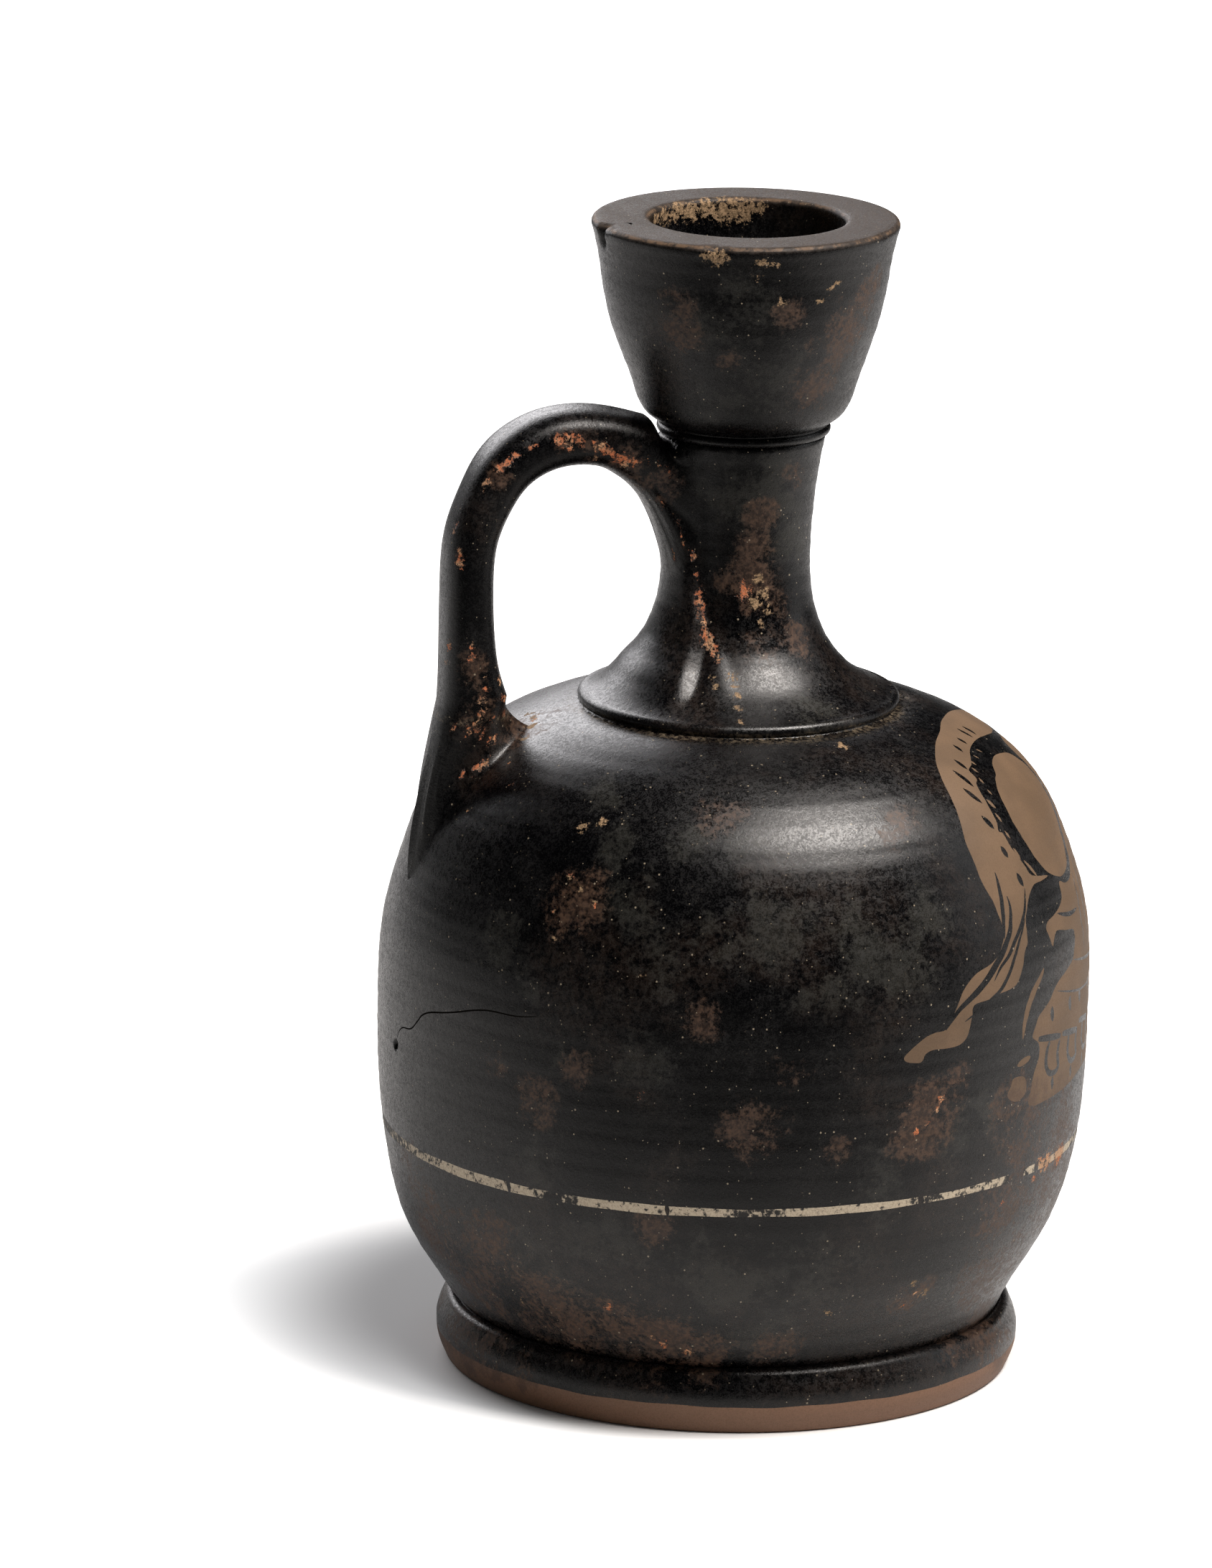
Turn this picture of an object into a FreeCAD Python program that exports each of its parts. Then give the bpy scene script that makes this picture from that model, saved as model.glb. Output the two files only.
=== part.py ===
import FreeCAD, Part
import math
import os

from FreeCAD import Vector

# Squat lekythos: a small footed oil flask of fired clay, thrown on a wheel, with one strap handle.
# The whole flask is one piece. Its axis is Z, it stands on z = 0, and the handle is at -X.
# All sizes are in millimetres. A point of a turned profile is (radius, height).

# Foot: a ring with a bulging outer face, hollowed underneath
foot_edge_r = 36.3
foot_edge_round = 0.5
foot_bulge_r = 37.35
foot_bulge_z = 4.0
foot_crest_r = 36.45
foot_crest_z = 7.2
foot_top_r = 35.2
foot_top_z = 8.3
foot_top_swell = 0.25
foot_groove_depth = 0.5
rest_ring_width = 5.6
recess_depth = 4.6
recess_slope_run = 2.4
recess_dome = 0.9

# Body: belly, shoulder and the walls behind them
body_base_r = 34.6
belly_r = 45.7
belly_z = 48.5
wall = 3.6
floor_thickness = 4.2
# From base to belly, and from belly to ledge, as (share of the width, share of the height, rise of
# the outward normal in degrees)
lower_body_shape = [(0.26, 0.10, -35), (0.59, 0.25, -27), (0.85, 0.47, -14), (0.97, 0.70, -5)]
shoulder_shape = [
    (0.032, 0.30, 11), (0.142, 0.535, 21), (0.252, 0.69, 34), (0.468, 0.84, 48), (0.745, 0.937, 68),
]
base_slope = 37

# Neck: a flared throat that starts from a rounded ledge on the shoulder
ledge_r = 20.45
ledge_z = 86.9
ledge_height = 1.8
ledge_lip = 0.9
ledge_undercut = 0.35
neck_waist_r = 8.75
neck_waist_z = 105.2
neck_top_r = 10.4
neck_top_z = 121.0
bore_r = 4.9
# From ledge to waist, and from waist to bead, as (share of the width, share of the height)
flare_shape = [(0.545, 0.17), (0.23, 0.388), (0.037, 0.716)]
upper_neck_shape = [(0.20, 0.43), (0.66, 0.81)]

# Bead: a thin ring between the neck and the mouth
bead_r = 11.0
bead_height = 1.1
bead_groove_height = 0.4
bead_groove_depth = 0.45

# Mouth: a deep bell with a broad flat lip and a funnel inside
mouth_base_r = 11.1
mouth_height = 25.8
lip_r = 19.45
lip_round = 0.8
mouth_hole_r = 12.35
hole_edge_round = 0.7
funnel_throat_height = 2.5
# From the bell's base to its lip, and up the funnel's wall, as (share of the width, share of the height)
mouth_shape = [(0.15, 0.035), (0.375, 0.19), (0.635, 0.425), (0.815, 0.66), (0.935, 0.89)]
funnel_shape = [(0.45, 0.16), (0.885, 0.55)]

# Handle: a strap that springs from below the bead, arches out and drops to the shoulder
strap_width = 9.6
strap_thick = 6.15
strap_squareness = 2.8
arch_top_rho = 21.1
arch_top_z = 121.65
arch_width = 10.3
arch_thick = 7.25
arch_reach = 36.0
arch_foot_z = 103.0
# The arch from its top to the straight drop, as (share of the reach, share of the height)
arch_shape = [(0.0, 1.0), (0.356, 0.96), (0.671, 0.804), (0.859, 0.59), (0.966, 0.354), (1.0, 0.0)]

# Upper root: the strap deepens towards the neck and its underside runs down into the tongue
upper_root_rho = 6.5
upper_root_top_z = 121.2
upper_root_foot_z = 103.0
upper_root_width = 12.0
upper_root_squareness = 2.0
# From the neck out to the arch, as shares (way out, underside's rise, top's rise, narrowing)
upper_root_shape = [
    (0.0, -0.07, 0.0, 0.0), (0.185, 0.06, 0.0, 0.75), (0.281, 0.293, 0.0, 0.95),
    (0.397, 0.70, 0.39, 0.9), (0.555, 0.858, 0.76, 0.9), (0.774, 0.971, 0.96, 0.97),
]

# Lower root: the strap spreads on the shoulder and thins to a point down the body
lower_root_z = 88.4
lower_root_tip_z = 65.0
lower_root_width = 11.0
lower_root_thick = 11.4
# From the straight drop to the root, as shares (way down, thickening, sway towards the axis)
drop_shape = [(0.51, 0.13, 0.15), (0.75, 0.25, 0.4), (1.0, 0.45, 0.85)]
drop_sway = 1.0
# From the root down to its tip, as shares (way down, outer face's run to the body, width, thickness)
lower_root_shape = [
    (0.167, 0.083, 0.945, 0.965), (0.40, 0.29, 1.0, 0.91), (0.53, 0.48, 0.86, 0.74),
    (0.658, 0.69, 0.69, 0.545), (0.808, 0.875, 0.51, 0.37), (1.0, 0.985, 0.22, 0.16),
]

# Tongue: the clay of the upper root, smoothed down the neck as a low skin that widens to the ledge
tongue_rise = 1.5
tongue_depth = 2.2
tongue_edge_turn = 7.0
# Up the neck from the ledge, as (share of the height, share of the rise, half turn in degrees)
tongue_shape = [
    (0.03, -0.6, 50), (0.07, 0.35, 49), (0.12, 0.75, 48), (0.2, 0.9, 47), (0.33, 1.0, 44), (0.45, 1.0, 37),
    (0.6, 0.95, 32), (0.75, 0.9, 28),
]

# Rim chips: a notch on the handle's side and a flake on the near side
rim_notch_depth = 1.3
rim_notch_height = 2.6
rim_notch_turn = 4.0
rim_flake_depth = 0.9
rim_flake_width = 2.6
rim_flake_turn = 66.0
rim_flake_lift = 0.2


def at(point):
    """A profile point (radius, height) as a vector in the XZ plane."""
    return Vector(point[0], 0, point[1])


def between(low, high, share):
    return low + (high - low) * share


def line(start, end):
    return Part.LineSegment(at(start), at(end)).toShape()


def arc(start, middle, end):
    return Part.Arc(at(start), at(middle), at(end)).toShape()


def curve(points, start_slope=None, end_slope=None):
    """A smooth curve through profile points, with its end directions (d radius, d height) if given."""
    spline = Part.BSplineCurve()
    ends = {}
    if start_slope and end_slope:
        ends["InitialTangent"] = at(start_slope)
        ends["FinalTangent"] = at(end_slope)
    spline.interpolate(Points=[at(point) for point in points], **ends)
    return spline.toShape()


def inward(point, slope, depth):
    """The point depth behind an outer profile point whose outward normal rises slope degrees."""
    lift = math.radians(slope)
    return (point[0] - depth * math.cos(lift), point[1] - depth * math.sin(lift))


def turned(edges):
    """A solid of revolution about Z from an open profile that starts and ends on the axis."""
    wire = Part.Wire(edges)
    start = wire.OrderedVertexes[0].Point
    end = wire.OrderedVertexes[-1].Point
    closed = Part.Wire(list(edges) + [Part.LineSegment(end, start).toShape()])
    return Part.Face(closed).revolve(Vector(0, 0, 0), Vector(0, 0, 1), 360)


# Turned profile, outside


def foot_edges():
    """From the underside's centre over the resting ring to the groove under the body."""
    rest_in_r = foot_edge_r - rest_ring_width
    recess_r = rest_in_r - recess_slope_run
    dome_top = (0, recess_depth + recess_dome)
    dome_turn = (recess_r * 0.5, recess_depth + recess_dome * 0.75)
    edge_in = (foot_edge_r - foot_edge_round, 0)
    edge_mid = (foot_edge_r - foot_edge_round * 0.3, foot_edge_round * 0.3)
    edge_out = (foot_edge_r, foot_edge_round)
    crest = (foot_crest_r, foot_crest_z)
    top = (foot_top_r, foot_top_z)
    crest_turn = (between(foot_crest_r, foot_top_r, 0.5) + foot_top_swell,
                  between(foot_crest_z, foot_top_z, 0.5) + foot_top_swell)
    return [
        arc(dome_top, dome_turn, (recess_r, recess_depth)),
        line((recess_r, recess_depth), (rest_in_r, 0)),
        line((rest_in_r, 0), edge_in),
        arc(edge_in, edge_mid, edge_out),
        arc(edge_out, (foot_bulge_r, foot_bulge_z), crest),
        arc(crest, crest_turn, top),
        line(top, (body_base_r, foot_top_z - foot_groove_depth)),
    ]


def lower_body_points():
    """From the groove above the foot up to the belly, each with its normal's rise in degrees."""
    shape = [
        ((between(body_base_r, belly_r, out), between(foot_top_z, belly_z, up)), slope)
        for out, up, slope in lower_body_shape
    ]
    base = (body_base_r, foot_top_z - foot_groove_depth)
    return [(base, -base_slope)] + shape + [((belly_r, belly_z), 0)]


def under_ledge():
    return (ledge_r + ledge_undercut, ledge_z - ledge_height * 0.45)


def shoulder_points():
    """From the belly up to the groove under the neck's ledge, each with its normal's rise in degrees."""
    shape = [
        ((between(belly_r, ledge_r, narrower), between(belly_z, ledge_z, up)), slope)
        for narrower, up, slope in shoulder_shape
    ]
    return [((belly_r, belly_z), 0)] + shape + [(under_ledge(), 82)]


def body_edges():
    lower = [point for point, slope in lower_body_points()]
    upper = [point for point, slope in shoulder_points()]
    lean = math.radians(base_slope)
    return [
        curve(lower, (math.sin(lean), math.cos(lean)), (0, 1)),
        curve(upper, (0, 1), (-1, 0.1)),
    ]


def neck_points():
    """The neck's outside, from the ledge's upper edge to the groove under the bead."""
    flare = [
        (between(neck_waist_r, ledge_r, out), between(ledge_z, neck_waist_z, up)) for out, up in flare_shape
    ]
    upper = [
        (between(neck_waist_r, neck_top_r, out), between(neck_waist_z, neck_top_z, up))
        for out, up in upper_neck_shape
    ]
    foot = (ledge_r - ledge_lip, ledge_z + ledge_height * 0.42)
    return [foot] + flare + [(neck_waist_r, neck_waist_z)] + upper + [(neck_top_r, neck_top_z)]


def neck_edges():
    groove = (ledge_r - ledge_undercut, ledge_z - ledge_height * 0.38)
    neck = neck_points()
    return [
        line(under_ledge(), groove),
        arc(groove, (ledge_r, ledge_z), neck[0]),
        curve(neck),
    ]


def bead_edges():
    low = neck_top_z + bead_groove_height
    high = low + bead_height
    lower_groove = (neck_top_r - bead_groove_depth, low)
    upper_groove = (mouth_base_r - bead_groove_depth, high)
    return [
        line((neck_top_r, neck_top_z), lower_groove),
        arc(lower_groove, (bead_r, between(low, high, 0.5)), upper_groove),
        line(upper_groove, (mouth_base_r, mouth_base_z())),
    ]


def mouth_base_z():
    return neck_top_z + 2 * bead_groove_height + bead_height


def lip_z():
    return mouth_base_z() + mouth_height


def mouth_points():
    """The bell's outside, from its base to the underside of the lip's rounded edge."""
    shape = [
        (between(mouth_base_r, lip_r, out), between(mouth_base_z(), lip_z(), up)) for out, up in mouth_shape
    ]
    return [(mouth_base_r, mouth_base_z())] + shape + [(lip_r, lip_z() - 1.1 * lip_round)]


def lip_edges():
    top = lip_z()
    mouth = mouth_points()
    outer_mid = (lip_r - lip_round * 0.25, top - lip_round * 0.3)
    inner_mid = (mouth_hole_r + hole_edge_round * 0.3, top - hole_edge_round * 0.3)
    return [
        curve(mouth),
        arc(mouth[-1], outer_mid, (lip_r - lip_round, top)),
        line((lip_r - lip_round, top), (mouth_hole_r + hole_edge_round, top)),
        arc((mouth_hole_r + hole_edge_round, top), inner_mid, (mouth_hole_r, top - hole_edge_round)),
    ]


def outer_form():
    """The flask as if it were solid clay, up to the edge of the mouth's hole."""
    plug = line((mouth_hole_r, lip_z() - hole_edge_round), (0, lip_z() - hole_edge_round))
    return turned(foot_edges() + body_edges() + neck_edges() + bead_edges() + lip_edges() + [plug])


# Turned profile, inside


def hollow_form():
    """The room inside: belly, neck bore and the mouth's funnel, as one turned solid."""
    floor_z = recess_depth + recess_dome + floor_thickness
    lower = [inward(point, slope, wall) for point, slope in lower_body_points()[2:]]
    upper = [inward(point, slope, wall) for point, slope in shoulder_points()[:-1]]
    floor_edge = (lower[0][0] * 0.5, floor_z)
    bore_foot = (bore_r, ledge_z + wall)
    bore_top = (bore_r, mouth_base_z() - funnel_throat_height)
    top = lip_z()
    wall_points = [
        (between(bore_r, mouth_hole_r, out), between(mouth_base_z(), top, up)) for out, up in funnel_shape
    ]
    funnel = [bore_top] + wall_points + [(mouth_hole_r, top - hole_edge_round)]
    return turned([
        line((0, floor_z), floor_edge),
        curve([floor_edge] + lower, (1, 0), (0, 1)),
        curve(upper),
        curve([upper[-1], bore_foot], (-1, 0.2), (0, 1)),
        line(bore_foot, bore_top),
        curve(funnel, (0, 1), (0, 1)),
        line(funnel[-1], (mouth_hole_r, top + 1)),
        line((mouth_hole_r, top + 1), (0, top + 1)),
    ])


# Handle


def loop(points):
    """A smooth closed wire through points."""
    spline = Part.BSplineCurve()
    spline.interpolate(Points=points, PeriodicFlag=True)
    return Part.Wire(spline.toShape())


def strap_section(rho, z, lean, width, thick, squareness=strap_squareness):
    """A soft-cornered strap section whose outer face looks lean degrees above -X."""
    count = 16
    power = 2 / squareness
    tilt = math.radians(lean)
    across = Vector(-math.cos(tilt), 0, math.sin(tilt))
    points = []
    for step in range(count):
        angle = 2 * math.pi * step / count
        c = math.cos(angle)
        s = math.sin(angle)
        u = math.copysign(abs(c) ** power, c) * thick / 2
        v = math.copysign(abs(s) ** power, s) * width / 2
        points.append(Vector(-rho, v, z) + across * u)
    return loop(points)


def radius_on(points, z):
    """The radius at height z on the smooth curve through rising profile points."""
    samples = curve(points).discretize(200)
    return min(samples, key=lambda sample: abs(sample.z - z)).x


def upper_root_sections():
    """Upright sections from inside the neck's clay out to the top of the arch."""
    under_arch = arch_top_z - arch_thick / 2
    over_arch = arch_top_z + arch_thick / 2
    sections = []
    for out, underside, top, narrowing in upper_root_shape:
        low = between(upper_root_foot_z, under_arch, underside)
        high = between(upper_root_top_z, over_arch, top)
        rho = between(upper_root_rho, arch_top_rho, out)
        width = between(upper_root_width, arch_width, narrowing)
        squareness = between(upper_root_squareness, strap_squareness, out)
        sections.append(strap_section(rho, between(low, high, 0.5), 90, width, high - low, squareness))
    return sections


def arch_sections():
    """Sections square to the arch's line from its top to the start of the straight drop."""
    line_points = [
        (between(arch_top_rho, arch_reach, out), between(arch_foot_z, arch_top_z, up))
        for out, up in arch_shape
    ]
    last = len(line_points) - 1
    sections = []
    for k, (rho, z) in enumerate(line_points):
        share = k / last
        before = line_points[max(k - 1, 0)]
        after = line_points[min(k + 1, last)]
        lean = math.degrees(math.atan2(after[0] - before[0], before[1] - after[1]))
        if k in (0, last):
            lean = 90 * (1 - share)
        sections.append(strap_section(rho, z, lean, between(arch_width, strap_width, share),
                                      between(arch_thick, strap_thick, share)))
    return sections


def lower_root_sections():
    """Level sections down the straight drop, then spreading on the shoulder and thinning to the tip."""
    sections = []
    for down, thicker, sway in drop_shape:
        z = between(arch_foot_z, lower_root_z, down)
        thick = between(strap_thick, lower_root_thick, thicker)
        sections.append(strap_section(arch_reach - drop_sway * sway, z, 0, strap_width, thick))
    outer_rho = arch_reach + strap_thick / 2
    tip_rho = radius_on([point for point, slope in shoulder_points()], lower_root_tip_z)
    for down, run, wide, deep in lower_root_shape:
        z = between(lower_root_z, lower_root_tip_z, down)
        thick = lower_root_thick * deep
        rho = between(outer_rho, tip_rho, run) - thick / 2
        sections.append(strap_section(rho, z, 0, lower_root_width * wide, thick))
    return sections


def handle():
    return Part.makeLoft(upper_root_sections() + arch_sections()[1:] + lower_root_sections(), True, False)


def skin_section(z, neck_r, rise, half_turn):
    """A level section that follows the neck round to half_turn on each side and sinks into it beyond."""
    edge = half_turn + tongue_edge_turn
    face = [(0, 1.0), (0.5, 1.0), (0.85, 0.9)]
    half = [(half_turn * share, neck_r + rise * height) for share, height in face]
    half += [(edge, neck_r - tongue_depth * 0.3), (half_turn, neck_r - tongue_depth)]
    back = [(half_turn * 0.5, neck_r - tongue_depth), (0, neck_r - tongue_depth)]
    polar = half + back + [(-turn, r) for turn, r in reversed(half[1:] + back[:-1])]
    return loop([
        Vector(-r * math.cos(math.radians(turn)), r * math.sin(math.radians(turn)), z) for turn, r in polar
    ])


def tongue():
    neck = neck_points()
    sections = []
    for up, raised, half_turn in tongue_shape:
        z = between(ledge_z, upper_root_top_z, up)
        sections.append(skin_section(z, radius_on(neck, z), tongue_rise * raised, half_turn))
    return Part.makeLoft(sections, True, False)


# Worn edges


def rim_chips():
    """Cutters for the two places where the lip has lost clay."""
    notch = Part.makeCone(0, rim_notch_height, 2 * rim_notch_depth)
    notch.rotate(Vector(0, 0, 0), Vector(0, 1, 0), -90)
    notch.translate(Vector(-(lip_r - rim_notch_depth), 0, lip_z() - rim_notch_height))
    notch.rotate(Vector(0, 0, 0), Vector(0, 0, 1), rim_notch_turn)
    flake = Part.makeSphere(rim_flake_width)
    flake.translate(Vector(-(lip_r + rim_flake_width - rim_flake_depth), 0, lip_z() + rim_flake_lift))
    flake.rotate(Vector(0, 0, 0), Vector(0, 0, 1), rim_flake_turn)
    return [notch, flake]


def squat_lekythos():
    clay = outer_form().fuse([handle(), tongue()])
    clay = clay.cut([hollow_form()] + rim_chips())
    return clay.removeSplitter()


os.makedirs("parts", exist_ok=True)
flask = squat_lekythos()
flask.exportStep("parts/squat_lekythos.step")
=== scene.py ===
import math

import bmesh
import bpy
import numpy as np
from mathutils import Matrix, Vector
from mathutils.geometry import delaunay_2d_cdt


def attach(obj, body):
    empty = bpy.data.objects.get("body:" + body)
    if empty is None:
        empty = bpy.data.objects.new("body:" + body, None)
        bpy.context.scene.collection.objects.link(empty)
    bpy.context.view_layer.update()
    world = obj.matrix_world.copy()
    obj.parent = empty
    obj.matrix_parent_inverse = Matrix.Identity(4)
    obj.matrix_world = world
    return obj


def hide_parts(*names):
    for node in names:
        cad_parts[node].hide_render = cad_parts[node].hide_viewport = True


# Squat lekythos: a black-gloss oil flask with one handle and a reserved figure on its right flank.
# It is one fired piece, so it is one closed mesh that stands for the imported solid.
# Lengths are in millimetres until a mesh is written, which is in metres.
# A profile point is (radius, height). A place on the turned surface is (turn, height).
# Turn is in degrees round the axis, from +X towards -Y: the painted side is at 0 to 80, the camera looks
# from 106 and the handle stands at 180.

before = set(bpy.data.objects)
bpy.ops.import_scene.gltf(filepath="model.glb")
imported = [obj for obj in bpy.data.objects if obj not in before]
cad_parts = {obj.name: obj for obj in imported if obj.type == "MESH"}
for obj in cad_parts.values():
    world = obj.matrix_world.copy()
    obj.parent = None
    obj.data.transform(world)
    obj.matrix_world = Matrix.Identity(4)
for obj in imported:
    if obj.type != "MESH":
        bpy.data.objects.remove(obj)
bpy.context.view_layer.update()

MM = 0.001
HANDLE_TURN = 180.0
SEAM_TURN = -115.0

# Profile: foot
FOOT_EDGE_R = 36.3
FOOT_EDGE_ROUND = 0.5
FOOT_BULGE = (37.35, 4.0)
FOOT_CREST = (36.45, 7.2)
FOOT_TOP = (35.2, 8.3)
FOOT_GROOVE = (34.6, 7.8)
REST_RING_WIDTH = 5.6
RECESS_DEPTH = 4.6
RECESS_SLOPE = 2.4
RECESS_DOME = 0.9
FLOOR_TOP = 9.7

# Profile: body, as (radius, height)
LOWER_BODY = [(34.6, 7.8), (37.49, 12.32), (41.15, 18.35), (44.04, 27.19), (45.37, 36.44), (45.7, 48.5)]
SHOULDER = [(45.7, 48.5), (44.89, 60.02), (42.11, 69.04), (39.34, 75), (33.88, 80.76), (26.89, 84.48),
            (20.8, 86.09)]

# Profile: neck, from the ledge's groove to the groove under the bead
LEDGE_GROOVE = (20.1, 86.22)
LEDGE = (20.45, 86.9)
NECK = [(19.55, 87.66), (15.13, 90.01), (11.44, 94), (9.18, 100), (8.75, 105.2), (9.08, 111.99),
        (9.84, 118), (10.4, 121)]
BEAD_GROOVE_LOW = (9.95, 121.4)
BEAD = (11, 121.95)
BEAD_GROOVE_HIGH = (10.65, 122.5)

# Profile: mouth
MOUTH = [(11.1, 122.9), (12.35, 123.8), (14.23, 127.8), (16.4, 133.87), (17.91, 139.93), (18.91, 145.86),
         (19.45, 147.82)]
LIP_TOP = 148.7
LIP_ROUND = 0.8
HOLE_R = 12.35
HOLE_ROUND = 0.7
BORE_R = 4.9
BORE_FOOT = 90.5
BORE_TOP = 120.4

# The reserved line round the body and the reserved band round the foot
LINE_Z = 31.45
LINE_HALF = 0.56
BAND_TOP = 3.65

# The photograph's frame and the camera fitted to it
PHOTO_W = 1688
PHOTO_H = 2184
FOCAL_PX = 15833.0
CAMERA_PITCH = 14.4
CAMERA_ROLL = 0.95
CAMERA_DISTANCE = 1466.0
FOOT_PX = (1010.5, 1877.5)
CAMERA_TURN = -16.0
LONG_SIDE = 36.0


# Curves


def spline(points, step, start=None, end=None):
    """Points about step apart on a smooth curve through the given ones, with its directions at the ends."""
    knots = np.array(points, float)
    gaps = np.linalg.norm(np.diff(knots, axis=0), axis=1)
    count = len(knots)
    matrix = np.eye(count)
    right = np.zeros_like(knots)
    for i in range(1, count - 1):
        before, after = 1 / gaps[i - 1], 1 / gaps[i]
        matrix[i, i - 1:i + 2] = before, 2 * (before + after), after
        right[i] = 3 * ((knots[i] - knots[i - 1]) * before ** 2 + (knots[i + 1] - knots[i]) * after ** 2)
    for row, inner, given, chord, gap in (
        (0, 1, start, knots[1] - knots[0], gaps[0]),
        (count - 1, count - 2, end, knots[-1] - knots[-2], gaps[-1]),
    ):
        if given is None:
            matrix[row, row], matrix[row, inner] = 2, 1
            right[row] = 3 * chord / gap
        else:
            right[row] = np.array(given, float) / np.linalg.norm(given)
    slopes = np.linalg.solve(matrix, right)
    made = []
    for i, gap in enumerate(gaps):
        parts = max(1, round(gap / step))
        for t in np.arange(parts) / parts:
            made.append(
                (2 * t ** 3 - 3 * t ** 2 + 1) * knots[i] + (t ** 3 - 2 * t ** 2 + t) * gap * slopes[i]
                + (3 * t ** 2 - 2 * t ** 3) * knots[i + 1] + (t ** 3 - t ** 2) * gap * slopes[i + 1]
            )
    return np.array(made + [knots[-1]])


def straight(start, end, step):
    parts = max(1, round(math.dist(start, end) / step))
    return np.linspace(start, end, parts + 1)


def arc(start, middle, end, step):
    """Points about step apart on the circle through three points."""
    (ax, ay), (bx, by), (cx, cy) = start, middle, end
    twice = 2 * (ax * (by - cy) + bx * (cy - ay) + cx * (ay - by))
    a2, b2, c2 = ax * ax + ay * ay, bx * bx + by * by, cx * cx + cy * cy
    centre = np.array([a2 * (by - cy) + b2 * (cy - ay) + c2 * (ay - by),
                       a2 * (cx - bx) + b2 * (ax - cx) + c2 * (bx - ax)]) / twice
    angles = np.unwrap([math.atan2(y - centre[1], x - centre[0]) for x, y in (start, middle, end)])
    radius = math.dist(start, centre)
    parts = max(2, round(abs(angles[2] - angles[0]) * radius / step))
    sweep = np.linspace(angles[0], angles[2], parts + 1)
    return centre + radius * np.stack([np.cos(sweep), np.sin(sweep)], axis=1)


def closed_curve(points, parts=4):
    """A smooth closed outline through the given points."""
    knots = np.array(points, float)
    before, after, second = (np.roll(knots, k, axis=0) for k in (1, -1, -2))
    slope = after - before
    bend = 2 * before - 5 * knots + 4 * after - second
    twist = 3 * knots - before - 3 * after + second
    rows = [0.5 * (2 * knots + slope * t + bend * t ** 2 + twist * t ** 3) for t in np.arange(parts) / parts]
    return np.stack(rows, axis=1).reshape(-1, 2)


def smooth_step(low, high, value):
    t = np.clip((value - low) / (high - low), 0, 1)
    return t * t * (3 - 2 * t)


# The turned skin: one long profile from the underside's centre, over the lip, to the floor inside


def profile_runs():
    """Stretches of the profile as (points, columns round the flask)."""
    rest_in_r = FOOT_EDGE_R - REST_RING_WIDTH
    recess_r = rest_in_r - RECESS_SLOPE
    edge_low = (FOOT_EDGE_R - FOOT_EDGE_ROUND, 0)
    edge_mid = (FOOT_EDGE_R - FOOT_EDGE_ROUND * 0.3, FOOT_EDGE_ROUND * 0.3)
    edge_high = (FOOT_EDGE_R, FOOT_EDGE_ROUND)
    crest_turn = (36.08, 8.0)
    lip_low = (MOUTH[-1][0], LIP_TOP - 1.1 * LIP_ROUND)
    lip_mid = (MOUTH[-1][0] - LIP_ROUND * 0.25, LIP_TOP - LIP_ROUND * 0.3)
    lip_in = (MOUTH[-1][0] - LIP_ROUND, LIP_TOP)
    hole_out = (HOLE_R + HOLE_ROUND, LIP_TOP)
    hole_mid = (HOLE_R + HOLE_ROUND * 0.3, LIP_TOP - HOLE_ROUND * 0.3)
    hole_low = (HOLE_R, LIP_TOP - HOLE_ROUND)
    funnel = [hole_low, (HOLE_R * 0.93, 137.1), (8.25, 127.0), (BORE_R, BORE_TOP)]
    inner_shoulder = [(BORE_R, BORE_FOOT), (8.5, 85.2), (18, 83.6), (25, 81.6), (31.5, 78.1), (36.3, 73),
                      (38.8, 67.8), (41.3, 59.3), (42.1, 48.5)]
    inner_lower = [(42.1, 48.5), (41.8, 36.8), (40.5, 28.1), (37.9, 20.0), (30.0, 12.4), (19.0, FLOOR_TOP)]
    return [
        (spline([(2.0, RECESS_DEPTH + RECESS_DOME), (recess_r * 0.55, RECESS_DEPTH + RECESS_DOME * 0.7),
                 (recess_r, RECESS_DEPTH)], 3.0), 72),
        (straight((recess_r, RECESS_DEPTH), (rest_in_r - 0.3, 0.4), 1.2), 144),
        (straight((rest_in_r, 0), edge_low, 1.4), 180),
        (arc(edge_low, edge_mid, edge_high, 0.2), 320),
        (arc(edge_high, FOOT_BULGE, FOOT_CREST, 0.62), 320),
        (arc(FOOT_CREST, crest_turn, FOOT_TOP, 0.35), 320),
        (straight(FOOT_TOP, FOOT_GROOVE, 0.3), 320),
        (spline(LOWER_BODY, 0.95, (0.602, 0.799), (0, 1)), 180),
        (spline(SHOULDER, 0.95, (0, 1), (-1, 0.1)), 180),
        (straight(SHOULDER[-1], LEDGE_GROOVE, 0.3), 240),
        (arc(LEDGE_GROOVE, LEDGE, NECK[0], 0.28), 240),
        (spline(NECK, 0.62), 144),
        (straight(NECK[-1], BEAD_GROOVE_LOW, 0.25), 144),
        (arc(BEAD_GROOVE_LOW, BEAD, BEAD_GROOVE_HIGH, 0.2), 144),
        (straight(BEAD_GROOVE_HIGH, MOUTH[0], 0.25), 144),
        (spline(MOUTH, 0.72), 192),
        (arc(lip_low, lip_mid, lip_in, 0.25), 192),
        (straight(lip_in, hole_out, 0.7), 192),
        (arc(hole_out, hole_mid, hole_low, 0.25), 192),
        (spline(funnel, 0.8, (0, -1), (0, -1)), 120),
        (straight((BORE_R, BORE_TOP), (BORE_R, BORE_FOOT), 2.5), 36),
        (spline(inner_shoulder, 3.0), 72),
        (spline(inner_lower, 3.0), 72),
        (straight((19.0, FLOOR_TOP), (3.0, FLOOR_TOP), 4.0), 36),
    ]


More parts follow.
